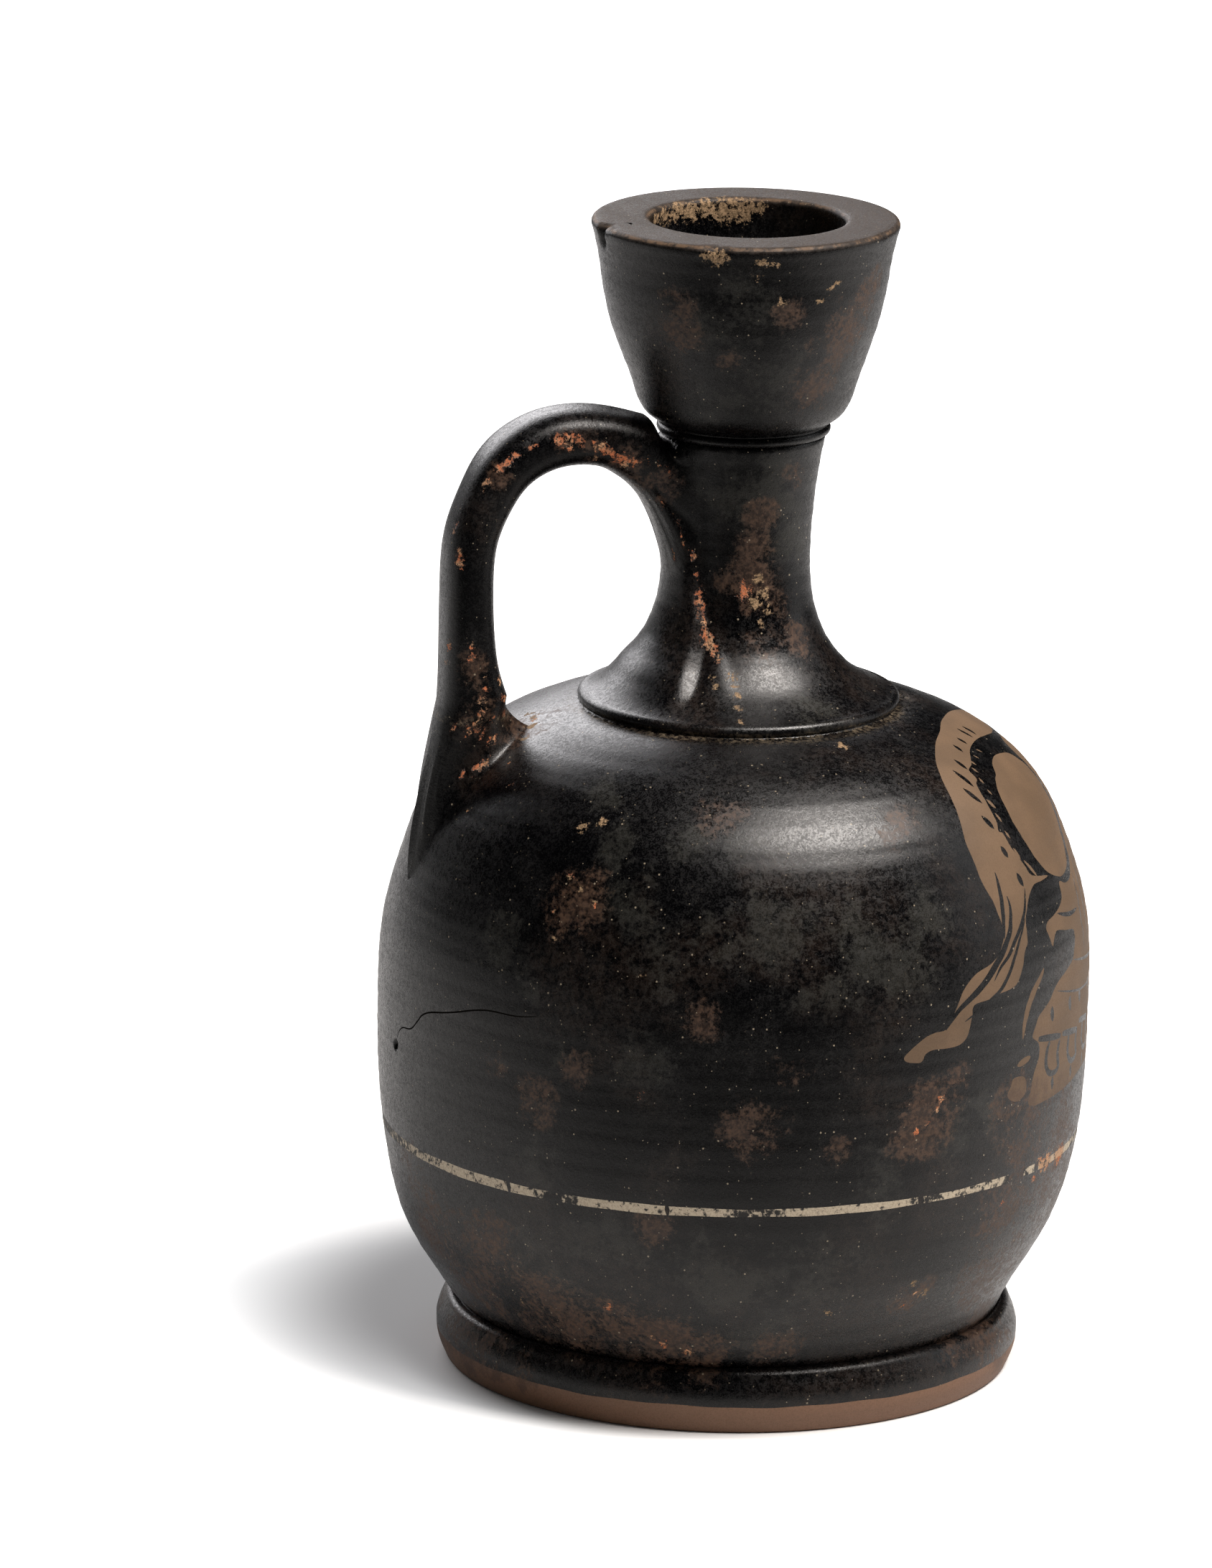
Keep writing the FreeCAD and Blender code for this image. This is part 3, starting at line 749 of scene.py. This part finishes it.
def face_outward(mesh):
    facing = bmesh.new()
    facing.from_mesh(mesh)
    bmesh.ops.recalc_face_normals(facing, faces=facing.faces)
    facing.to_mesh(mesh)
    facing.free()


def flask_mesh():
    """The whole flask as one closed mesh: skin, roots, handle and the two end fans."""
    flat_points, triangles, surface, roots = cut_sheet()
    merged = close_seam(flat_points)
    vertices = [tuple(p) for p in place(flat_points[:, 0] / DEGREE, flat_points[:, 1])]
    faces = [tuple(f) for f in merged[triangles]]
    slots = surface.tolist()
    for length, z, slot in ((0.0, RECESS_DEPTH + RECESS_DOME, CLAY), (PROFILE.length[-1], FLOOR_TOP, GLOSS)):
        fan = end_fan(flat_points, merged, length, len(vertices))
        vertices.append((0.0, 0.0, z))
        faces += fan
        slots += [slot] * len(fan)
    add_handle(vertices, faces, slots, *[root_indices(flat_points, merged, root) for root in roots])
    mesh = bpy.data.meshes.new("flask")
    mesh.from_pydata([tuple(c * MM for c in v) for v in vertices], [], faces)
    mesh.polygons.foreach_set("material_index", slots)
    mesh.polygons.foreach_set("use_smooth", [True] * len(mesh.polygons))
    face_outward(mesh)
    for name, values in wear_fields(np.array(vertices)).items():
        mesh.attributes.new(name, "FLOAT", "POINT").data.foreach_set("value", values)
    mesh.validate()
    return mesh


# Wear: soft fields round marks, which the materials break up into ragged patches

# Bare or discoloured spots on the turned skin, by radius, as (turn, height)
ORANGE_SPOTS = {
    0.34: [(160.4, 79.8), (167.2, 75.9)],
    0.42: [(167.2, 81.4), (72.5, 15.8)],
    0.5: [(119.5, 93.9), (136.5, 72), (131, 68.9), (138.3, 67.7), (71.9, 43.2), (74, 41.6), (121, 12.5)],
    0.51: [(71, 17.8), (120.9, 46.2)],
    0.59: [(104.5, 103.4), (55, 28.5)],
    0.6: [(135.5, 98.9), (133.5, 98), (143.5, 104), (146, 106.5), (71.3, 44.6), (76, 40.7)],
    0.68: [(128.2, 16.8), (46.5, 30), (45.5, 32.6)],
    0.7: [(141, 102), (122.5, 94.7), (118.7, 11.6), (183, 84.6)],
    0.77: [(179, 77.6)],
    0.8: [(137.5, 99.8), (114, 10.7)],
    0.9: [(139.5, 101), (131.5, 96.9)],
    1: [(125.5, 95.4)],
    1.02: [(103, 102.2)],
    1.1: [(128.5, 96.2)],
    1.7: [(43, 31.7), (37, 31.3)],
}
TAN_SPOTS = {
    0.4: [(138.4, 67.6), (137.4, 64.3)],
    0.5: [(95, 146.4), (90.5, 141.5), (121.4, 61.4), (121, 92)],
    0.6: [(103, 146.7), (100.5, 146.8), (97.5, 146.7), (102.5, 144.9), (117.4, 146.7), (93, 141.6),
        (75.7, 141.6), (71.3, 142.8), (67.5, 143.6), (108.5, 91.2), (107, 90.2), (106, 89.2), (90.4, 98.3),
        (118, 91), (72, 19.5), (147.5, 15.5), (134.3, 70.6), (136.8, 71.8), (131, 69.3)],
    0.7: [(110.5, 92.3), (105.5, 88), (84, 100), (88, 16.4)],
    0.8: [(114.5, 147.5), (133.7, 78.3), (69, 17.4), (190, 84.6), (173.5, 83.4)],
    0.9: [(73.1, 85.5), (137.2, 77.5), (92, 104), (88, 102), (179, 84.3), (185.5, 84.7)],
    1: [(121.4, 147.4), (95, 101)],
    1.2: [(118, 147.3)],
}
BROWN_SPOTS = {
    1.5: [(138, 141.7)],
    1.6: [(115, 133.8)],
    1.8: [(89.3, 39.2)],
    2: [(62, 117)],
    2.2: [(92, 112), (146.2, 47.5), (133, 140.5), (89, 140), (159, 4)],
    2.4: [(131.3, 49.1), (111.1, 56.5)],
    2.5: [(96, 108), (150, 4.5)],
    2.6: [(118.4, 29), (97.4, 49.2)],
    2.8: [(68, 96), (137, 67), (69, 46), (134, 136.5), (55, 7)],
    3: [(97, 11.5), (71, 17), (168.9, 3.6), (109, 80), (73, 78)],
    3.2: [(139.7, 43.5), (147, 12.5)],
    3.4: [(85, 96.5), (76, 39), (70, 130)],
    3.5: [(50, 141), (170, 6.5), (160, 6), (187, 4), (176, 84), (185, 84.8), (172, 30)],
    3.6: [(98, 104)],
    4: [(88, 101), (134, 69.5), (111, 11), (193, 7), (180, 5.4), (35.8, 5.3), (169, 26)],
    4.2: [(103.2, 42.7)],
    4.5: [(137, 13), (73, 43.5), (60, 136), (43, 8.9)],
    5: [(126.5, 14.5), (160, 14.5)],
    5.5: [(118, 12), (151, 21)],
    6: [(143, 17), (166, 20), (54, 27)],
    6.5: [(52, 38)],
    7: [(42, 34)],
    8: [(48, 18)],
    9: [(36, 26)],
}
ASH_SPOTS = {
    1.6: [(140.5, 57.6)],
    2.6: [(135.7, 50.5)],
    3: [(115.3, 76.6), (129, 76), (135, 81)],
    3.5: [(105, 77)],
    4: [(110, 66.5), (74, 67), (78, 62), (92, 59), (147, 62), (138, 36), (121, 52), (118, 129), (62, 108),
        (75, 88)],
    4.5: [(125, 70), (105, 141)],
    5: [(86, 66), (120, 63), (82, 34), (64, 40), (100, 14), (122, 138), (95, 131), (84, 116), (105, 115)],
    5.5: [(99.7, 67.8)],
    6: [(128, 25), (140, 22), (92, 24)],
    7: [(108, 22)],
}
# The same off the turned skin, by radius, as (x, y, z): on the handle's near side and inside the mouth
HANDLE_ORANGE = {
    0.5: [(-31, -4.6, 120.5), (-13.6, -5.2, 119.3), (-12.6, -5.2, 118.3), (-10.6, -4.8, 111.8),
        (-9.2, -4.8, 110.4), (-34.8, -4.8, 92.1), (-37.1, -4.6, 84.9), (-35, -4.7, 84.3),
        (-38.4, -3.9, 85.7), (-37.2, -4.3, 79.5), (-33.5, -4.4, 86.6), (-9.4, -4.8, 108)],
    0.6: [(-37.8, -3, 114), (-35.4, -4, 116.3), (-29, -4.8, 121.6), (-11.3, -4.8, 117.4),
        (-11.5, -4.8, 113.2), (-10.2, -3.4, 106.2), (-39, -1.7, 93.6), (-36.5, -4.8, 96),
        (-34.9, -4.9, 90.6), (-34.9, -4.9, 89.2), (-35.2, -4.8, 85.2), (-34.6, -4.9, 80.9),
        (-35.8, -4.8, 80.2), (-32.9, -3.7, 106.5), (-32.9, -3.7, 105), (-32.9, -3.7, 103),
        (-32.9, -3.7, 101), (-32.8, -3.7, 99), (-32.5, -3.6, 97.5)],
    0.7: [(-34.7, -4.2, 117.2), (-33.2, -4.4, 118.8), (-24.4, -5.1, 121.2), (-38.9, -2.6, 95.8),
        (-36.5, -4.8, 94.6), (-34.9, -4.9, 87.8), (-35.3, -4.9, 86.5), (-36.4, -4.8, 85.3)],
    0.8: [(-38.3, -2, 110.7), (-38, -4, 106.6), (-32.2, -4.6, 119.6), (-22.8, -5.1, 122),
        (-20.6, -5.1, 121.2), (-15.8, -5.2, 119), (-20.8, -5, 119.4), (-32, -3.4, 96), (-32.1, -3.7, 93.5),
        (-32.2, -3.8, 91.3), (-31.9, -3.6, 89), (-31.2, -3.2, 86.8)],
    0.9: [(-38.1, -4, 107.9), (-25.6, -5, 122.2), (-24.2, -5.1, 122.4), (-19.2, -5.1, 120.6),
        (-33.4, -4.4, 83.8)],
    1: [(-18, -5.1, 119.6), (-16.9, -5.1, 118.8)],
}
HANDLE_BROWN = {
    1.6: [(-33, -4.4, 118)],
    1.8: [(-25, -4.9, 121.8)],
    2: [(-36.4, -4.8, 93)],
    2.4: [(-20.5, -5, 120.5), (-17, -5.1, 119.2)],
    2.6: [(-12.5, -5, 116), (-35.3, -4.9, 87.5)],
}
MOUTH_CRUST = {
    1: [(5, 11.3, 147.4)],
    1.2: [(-9.8, 7.6, 147.3)],
    1.4: [(-8.2, 9.3, 147.3)],
    1.5: [(-6.2, 10.7, 147.4)],
    1.6: [(-4, 11.7, 147.2), (-1.6, 12.2, 147.4)],
    1.7: [(3, 12, 147)],
    2: [(0.8, 12.3, 147.1)],
}


def on_skin(spots):
    """Spots given by turn and height as points, by radius."""
    placed = {}
    for radius, places in spots.items():
        turn, z = np.array(places, float).T
        placed[radius] = place(turn, PROFILE.along(z))
    return placed


def wear_field(points, *groups):
    """At each point 1 well inside a spot, a half on its edge and 0 outside."""
    field = np.zeros(len(points))
    for group in groups:
        for radius, centres in group.items():
            for centre in centres:
                near = np.abs(points[:, 2] - centre[2]) < 1.6 * radius
                away = np.linalg.norm(points[near] - centre, axis=1)
                field[near] = np.maximum(field[near], np.clip(1.5 - away / radius, 0, 1))
    return field


def wear_fields(points):
    """All fields of wear by name, for points in millimetres."""
    turn = np.degrees(np.arctan2(-points[:, 1], points[:, 0])) % 360
    return {
        "orange": wear_field(points, on_skin(ORANGE_SPOTS), HANDLE_ORANGE),
        "tan": wear_field(points, on_skin(TAN_SPOTS), MOUTH_CRUST),
        "brown": wear_field(points, on_skin(BROWN_SPOTS), HANDLE_BROWN),
        "ash": wear_field(points, on_skin(ASH_SPOTS)),
        "loss": np.interp(turn, *np.transpose(LINE_LOSS)),
    }


# Materials


class Graph:
    """A short way to write a material's nodes."""

    def __init__(self, name):
        self.material = bpy.data.materials.new(name)
        self.material.use_nodes = True
        self.tree = self.material.node_tree
        self.shader = self.tree.nodes["Principled BSDF"]

    def feed(self, socket, value):
        if isinstance(value, bpy.types.NodeSocket):
            self.tree.links.new(value, socket)
        else:
            socket.default_value = value

    def node(self, kind, out=0, settings=None, **inputs):
        made = self.tree.nodes.new(kind)
        for name, value in (settings or {}).items():
            setattr(made, name, value)
        for name, value in inputs.items():
            key = int(name[1:]) if name[0] == "i" and name[1:].isdigit() else name.replace("_", " ")
            self.feed(made.inputs[key], value)
        return made.outputs[out]

    def math(self, operation, a, b):
        return self.node("ShaderNodeMath", settings={"operation": operation}, i0=a, i1=b)

    def plus(self, a, b):
        return self.math("ADD", a, b)

    def minus(self, a, b):
        return self.math("SUBTRACT", a, b)

    def times(self, a, b):
        return self.math("MULTIPLY", a, b)

    def most(self, a, b):
        return self.math("MAXIMUM", a, b)

    def vector(self, operation, a, b=(0, 0, 0), out=0):
        return self.node("ShaderNodeVectorMath", out=out, settings={"operation": operation}, i0=a, i1=b)

    def remap(self, value, low, high, to_low=0.0, to_high=1.0):
        return self.node("ShaderNodeMapRange", settings={"interpolation_type": "SMOOTHSTEP"}, Value=value,
                         From_Min=low, From_Max=high, To_Min=to_low, To_Max=to_high)

    def mix(self, share, a, b):
        return self.node("ShaderNodeMix", out=2, settings={"data_type": "RGBA"}, i0=share, i6=a, i7=b)

    def millimetres(self):
        return self.vector("MULTIPLY", self.node("ShaderNodeTexCoord", out=3), (1000, 1000, 1000))

    def upward(self):
        return self.node("ShaderNodeSeparateXYZ", out=2, i0=self.millimetres())

    def noise(self, scale, detail=3.0, rough=0.55):
        return self.node("ShaderNodeTexNoise", Vector=self.millimetres(), Scale=scale, Detail=detail,
                         Roughness=rough)

    def field(self, name):
        return self.node("ShaderNodeAttribute", out=2, settings={"attribute_name": name})

    def shade(self, **inputs):
        """Feeds the shader, with a low line for each space in an input's name."""
        for name, value in inputs.items():
            self.feed(self.shader.inputs[name.replace("_", " ")], value)

    def bump(self, rise):
        return self.node("ShaderNodeBump", Strength=0.5, Distance=0.001, Height=rise)


def patches(g, name, ragged, gain, low, high):
    """How far a field's wear shows at each place: the ragged noise breaks it into flakes."""
    field = g.field(name)
    pushed = g.plus(ragged, g.times(field, gain))
    return g.times(g.remap(pushed, low, high), g.remap(field, 0.02, 0.3))


def specks(g, scale, share, size):
    """Scattered tiny dots, one in each cell of a lucky share."""
    settings = {"feature": "F1"}
    away = g.node("ShaderNodeTexVoronoi", out=0, settings=settings, Vector=g.millimetres(), Scale=scale)
    chance = g.node("ShaderNodeTexVoronoi", out=1, settings=settings, Vector=g.millimetres(), Scale=scale)
    lucky = g.remap(g.node("ShaderNodeSeparateColor", out=0, i0=chance), 1 - share, 1 - share + 0.01)
    return g.times(g.remap(away, size, size * 0.5), lucky)


class Gloss(Graph):
    """The gloss with the noises that break it up, from broad to fine."""

    def __init__(self, name):
        super().__init__(name)
        self.height = self.upward()
        self.broad = self.noise(0.06, 3.0)
        self.cloud = self.noise(0.17, 6.0, 0.65)
        self.torn = self.noise(0.5, 9.0, 0.75)
        self.fine = self.noise(1.5, 7.0, 0.75)
        self.grain = self.noise(4.5, 3.0, 0.7)
        self.flaked = self.plus(self.times(self.torn, 0.5), self.times(self.fine, 0.5))
        self.speckled = self.plus(self.times(self.fine, 0.5), self.times(self.grain, 0.5))


def fired_gloss(g):
    """Black under a thin film, with brown haze, ash and flecks where it fired or wore thin."""
    tint = g.mix(g.remap(g.cloud, 0.4, 0.68), (0.0005, 0.0005, 0.0008, 1), (0.0028, 0.0027, 0.003, 1))
    film = g.times(g.remap(g.speckled, 0.48, 0.6), g.remap(g.cloud, 0.42, 0.62, 0.1, 1.0))
    tint = g.mix(g.times(film, 0.6), tint, (0.011, 0.0104, 0.0102, 1))
    mottled = g.plus(g.times(g.cloud, 0.45), g.times(g.flaked, 0.55))
    mottled = g.remap(mottled, 0.3, 0.7, 0.22, 0.78)
    more_low_down = g.remap(g.height, 38.0, 10.0, 0.0, 0.1)
    haze = g.remap(g.plus(g.broad, more_low_down), 0.5, 0.64)
    haze = g.times(haze, g.remap(g.flaked, 0.42, 0.58))
    tint = g.mix(g.times(haze, 0.5), tint, (0.024, 0.016, 0.012, 1))
    ash = patches(g, "ash", mottled, 0.21, 0.58, 0.8)
    tint = g.mix(g.times(ash, 0.6), tint, (0.024, 0.0235, 0.02, 1))
    brown = patches(g, "brown", mottled, 0.22, 0.58, 0.8)
    tint = g.mix(g.times(brown, 0.85), tint,
                 g.mix(g.remap(g.fine, 0.42, 0.62), (0.026, 0.015, 0.0105, 1), (0.08, 0.043, 0.025, 1)))
    flecks = g.times(g.remap(g.noise(2.4, 3.0, 0.6), 0.66, 0.74), g.remap(g.cloud, 0.45, 0.6))
    tint = g.mix(g.times(flecks, 0.6), tint, (0.1, 0.08, 0.055, 1))
    return tint, brown


def dusted(g, tint):
    """Dust on the lip, an edge of wear and painted highlight round it, and dirt in the ledge's groove."""
    lip = g.remap(g.height, LIP_TOP - 0.9, LIP_TOP - 0.2)
    dust = g.mix(g.remap(g.fine, 0.4, 0.62), (0.024, 0.0185, 0.0155, 1), (0.06, 0.046, 0.037, 1))
    tint = g.mix(g.times(lip, 0.85), tint, dust)
    # The lip's outer edge: a thin tan line, partly worn slip and partly a painted highlight along the edge
    edge = g.times(g.remap(g.height, LIP_TOP - 0.5, LIP_TOP - 0.35),
                   g.remap(g.height, LIP_TOP, LIP_TOP - 0.2))
    edge = g.times(edge, g.remap(g.torn, 0.47, 0.57))
    tint = g.mix(g.times(edge, 0.6), tint, (0.16, 0.1, 0.06, 1))
    groove = g.times(g.remap(g.height, 85.75, 86.1), g.remap(g.height, 86.9, 86.6))
    dirt = g.times(groove, g.remap(g.fine, 0.46, 0.58))
    dirt = g.times(dirt, g.remap(g.cloud, 0.4, 0.6, 0.1, 0.8))
    return g.mix(dirt, tint, (0.13, 0.1, 0.065, 1)), lip


def flaked_off(g, tint):
    """Tan crust, orange places where the clay is bare, and tiny pale dots all over."""
    tan = patches(g, "tan", g.fine, 0.24, 0.66, 0.72)
    tint = g.mix(tan, tint, g.mix(g.remap(g.grain, 0.4, 0.65), (0.13, 0.088, 0.05, 1), (0.36, 0.24, 0.14, 1)))
    orange = patches(g, "orange", g.noise(2.0, 6.0, 0.75), 0.25, 0.68, 0.75)
    flesh = g.mix(g.remap(g.torn, 0.47, 0.57), (0.6, 0.35, 0.2, 1), (0.54, 0.17, 0.075, 1))
    tint = g.mix(g.times(orange, 0.92), tint,
                 g.mix(g.remap(g.grain, 0.3, 0.6), (0.16, 0.065, 0.03, 1), flesh))
    dots = g.most(specks(g, 0.7, 0.3, 0.11), specks(g, 1.7, 0.14, 0.16))
    return g.mix(g.times(dots, 0.8), tint, (0.3, 0.25, 0.18, 1)), tan, orange


def black_gloss():
    g = Gloss("black_gloss")
    tint, brown = fired_gloss(g)
    tint, lip = dusted(g, tint)
    tint, tan, orange = flaked_off(g, tint)
    matt = g.most(g.most(tan, orange), g.times(lip, 0.8))
    rough = g.plus(g.remap(g.speckled, 0.44, 0.58, 0.17, 0.42), g.remap(g.cloud, 0.35, 0.7, -0.02, 0.06))
    rough = g.plus(rough, g.times(brown, 0.12))
    g.shade(Base_Color=tint, Roughness=g.plus(rough, g.times(matt, 0.35)))
    g.shade(Specular_IOR_Level=g.minus(0.44, g.times(matt, 0.32)))
    rise = g.plus(g.times(g.fine, 0.1), g.times(g.grain, 0.035))
    rise = g.minus(rise, g.times(g.most(orange, g.times(brown, 0.3)), 0.12))
    g.shade(Normal=g.bump(rise))
    return g.material


def reserved_clay():
    g = Graph("reserved_clay")
    height = g.upward()
    cloud = g.noise(0.12, 4.0)
    grain = g.noise(5.0, 3.0, 0.7)
    tint = g.mix(g.remap(cloud, 0.35, 0.65), (0.104, 0.063, 0.033, 1), (0.134, 0.081, 0.043, 1))
    tint = g.mix(g.remap(height, 6.0, 5.0), tint, (0.178, 0.092, 0.052, 1))
    tint = g.mix(g.remap(grain, 0.4, 0.75, 0.0, 0.5), tint, (0.075, 0.045, 0.025, 1))
    stain = patches(g, "brown", g.noise(0.6, 7.0, 0.75), 0.25, 0.56, 0.76)
    tint = g.mix(g.times(stain, 0.6), tint, (0.06, 0.033, 0.021, 1))
    g.shade(Base_Color=tint, Roughness=g.remap(grain, 0.2, 0.8, 0.5, 0.7))
    g.shade(Normal=g.bump(g.times(grain, 0.03)))
    return g.material


def pale_line():
    g = Graph("pale_line")
    worn = g.plus(g.noise(1.3, 4.0, 0.7), g.times(g.field("loss"), 0.33))
    lost = g.remap(worn, 0.66, 0.78)
    warm = g.remap(g.field("orange"), 0.1, 0.7)
    tint = g.mix(warm, (0.44, 0.37, 0.27, 1), (0.42, 0.23, 0.11, 1))
    tint = g.mix(g.remap(g.noise(4.0, 3.0, 0.7), 0.4, 0.7, 0.0, 0.5), tint, (0.13, 0.1, 0.07, 1))
    g.shade(Base_Color=g.mix(lost, tint, (0.012, 0.011, 0.01, 1)), Roughness=0.55)
    return g.material


def crack_dark():
    g = Graph("crack_dark")
    g.shade(Base_Color=(0.004, 0.0035, 0.003, 1), Roughness=0.9, Specular_IOR_Level=0.0)
    return g.material


def make_flask():
    mesh = flask_mesh()
    piece = bpy.data.objects.new("flask", mesh)
    bpy.context.scene.collection.objects.link(piece)
    for material in (black_gloss(), reserved_clay(), pale_line(), crack_dark()):
        mesh.materials.append(material)
    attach(piece, "root")
    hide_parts("squat_lekythos")
    return piece


# Stage

# Lights: name, turn and rise in degrees, distance and size in metres, watts, colour
LIGHTS = [
    ("key", 48, 62, 0.8, (0.36, 0.3), 11.8, (1, 0.94, 0.89)),
    ("back", 262, 26, 0.9, (0.7, 0.45), 4.8, (1, 0.98, 1)),
    ("side", 10, 20, 0.9, (0.2, 0.6), 0.8, (1, 1, 1)),
]
AIM = (0, 0, 0.07)
# Strength of the white world to the clay and to its gloss
CLAY_LIGHT = 0.1
GLOSS_LIGHT = 0.012
# Half the floor's width in metres, and its glow by distances in millimetres
FLOOR_HALF = 6.0
FULL_GLOW = 0.8
# Inside these distances from the axis the glow fades out, which paints a dark contact shadow round the foot
FOOT_EDGE = (36.0, 44.0)
# Round this centre behind the flask the glow is held back: the lamps' own shadow shows there, and this
# painted shadow sets its shape and depth
PAINTED_SHADOW_CENTRE = (-1.0, 19.5, 0.0)
PAINTED_SHADOW_EDGE = (38.0, 66.0)
PAINTED_SHADOW_GLOW = 0.03
# The way to the viewer, and how far along it reflections of the floor darken, and by what shares
FRONT = (-0.276, -0.961, 0.0)
DIM_REACH = (30.0, 200.0)
DIM_SHARES = (0.32, 0.92)


def make_camera():
    pitch, roll = math.radians(CAMERA_PITCH), math.radians(CAMERA_ROLL)
    ahead = Vector((0, math.cos(pitch), -math.sin(pitch)))
    up = Vector((0, math.sin(pitch), math.cos(pitch)))
    side = Vector((1, 0, 0))
    side_rolled = side * math.cos(roll) + up * math.sin(roll)
    up_rolled = up * math.cos(roll) - side * math.sin(roll)
    dx = (FOOT_PX[0] - PHOTO_W / 2) / FOCAL_PX
    dy = -(FOOT_PX[1] - PHOTO_H / 2) / FOCAL_PX
    where = -(ahead + dx * side_rolled + dy * up_rolled) * CAMERA_DISTANCE * MM
    matrix = Matrix((side_rolled, up_rolled, -ahead)).transposed().to_4x4()
    matrix.translation = where
    camera = bpy.data.objects.new("camera", bpy.data.cameras.new("camera"))
    camera.matrix_world = Matrix.Rotation(math.radians(CAMERA_TURN), 4, "Z") @ matrix
    camera.data.sensor_fit = "AUTO"
    camera.data.sensor_width = LONG_SIDE
    camera.data.lens = FOCAL_PX / PHOTO_H * LONG_SIDE
    camera.data.clip_start = 0.05
    camera.data.clip_end = 20
    bpy.context.scene.collection.objects.link(camera)
    bpy.context.scene.camera = camera


def make_light(name, turn, rise, distance, size, power, color):
    """A soft panel of light that looks at the flask from a turn and a rise in degrees."""
    lamp = bpy.data.lights.new(name, "AREA")
    lamp.shape = "RECTANGLE"
    lamp.size, lamp.size_y = size
    lamp.energy = power
    lamp.color = color
    thing = bpy.data.objects.new(name, lamp)
    angle, lift = math.radians(turn), math.radians(rise)
    away = Vector((math.cos(angle) * math.cos(lift), -math.sin(angle) * math.cos(lift), math.sin(lift)))
    thing.location = Vector(AIM) + away * distance
    thing.rotation_euler = (-away).to_track_quat("-Z", "Y").to_euler()
    thing.visible_camera = False
    bpy.context.scene.collection.objects.link(thing)


def make_floor():
    """A pale floor glowing for the camera alone, with a painted shadow where the glow is held back."""
    mesh = bpy.data.meshes.new("floor")
    corners = [(FLOOR_HALF * x, FLOOR_HALF * y, 0) for x, y in ((-1, -1), (1, -1), (1, 1), (-1, 1))]
    mesh.from_pydata(corners, [], [(0, 1, 2, 3)])
    floor = bpy.data.objects.new("floor", mesh)
    bpy.context.scene.collection.objects.link(floor)
    g = Graph("floor")
    g.shade(Base_Color=(0.8, 0.8, 0.8, 1), Roughness=0.9, Specular_IOR_Level=0.1)
    path = g.tree.nodes.new("ShaderNodeLightPath")
    away = g.vector("LENGTH", g.millimetres(), out=1)
    # Painted shadow: little glow round the shadow's centre and none at the foot, full glow further out
    behind = g.vector("SUBTRACT", g.millimetres(), PAINTED_SHADOW_CENTRE)
    outside = g.remap(g.vector("LENGTH", behind, out=1), *PAINTED_SHADOW_EDGE, PAINTED_SHADOW_GLOW, 1.0)
    glow = g.times(outside, g.remap(away, *FOOT_EDGE, 0.0, FULL_GLOW))
    glow = g.times(glow, path.outputs["Is Camera Ray"])
    lit = g.node("ShaderNodeEmission", Strength=glow)
    both = g.node("ShaderNodeAddShader", i0=g.shader.outputs[0], i1=lit)
    dark = g.node("ShaderNodeEmission", Color=(0, 0, 0, 1))
    ahead = g.vector("DOT_PRODUCT", g.millimetres(), FRONT, out=1)
    far = g.remap(ahead, *DIM_REACH, *DIM_SHARES)
    dimmed = g.node("ShaderNodeMixShader", i0=g.times(path.outputs["Is Glossy Ray"], far), i1=both, i2=dark)
    g.tree.links.new(dimmed, g.tree.nodes["Material Output"].inputs["Surface"])
    mesh.materials.append(g.material)


def make_world():
    """White to the camera, dim to the clay and nearly dark to its gloss."""
    world = bpy.data.worlds.new("studio")
    bpy.context.scene.world = world
    world.use_nodes = True
    tree = world.node_tree
    ground = tree.nodes["Background"]
    ground.inputs["Color"].default_value = (1, 1, 1, 1)
    path = tree.nodes.new("ShaderNodeLightPath")
    strength = tree.nodes.new("ShaderNodeMapRange")
    strength.inputs["To Min"].default_value = CLAY_LIGHT
    strength.inputs["To Max"].default_value = GLOSS_LIGHT
    tree.links.new(path.outputs["Is Glossy Ray"], strength.inputs["Value"])
    seen = tree.nodes.new("ShaderNodeMath")
    seen.operation = "MAXIMUM"
    tree.links.new(strength.outputs[0], seen.inputs[0])
    tree.links.new(path.outputs["Is Camera Ray"], seen.inputs[1])
    tree.links.new(seen.outputs[0], ground.inputs["Strength"])


def make_stage():
    make_camera()
    make_floor()
    make_world()
    for light in LIGHTS:
        make_light(*light)
    bpy.context.scene.view_settings.view_transform = "Standard"


make_stage()
make_flask()
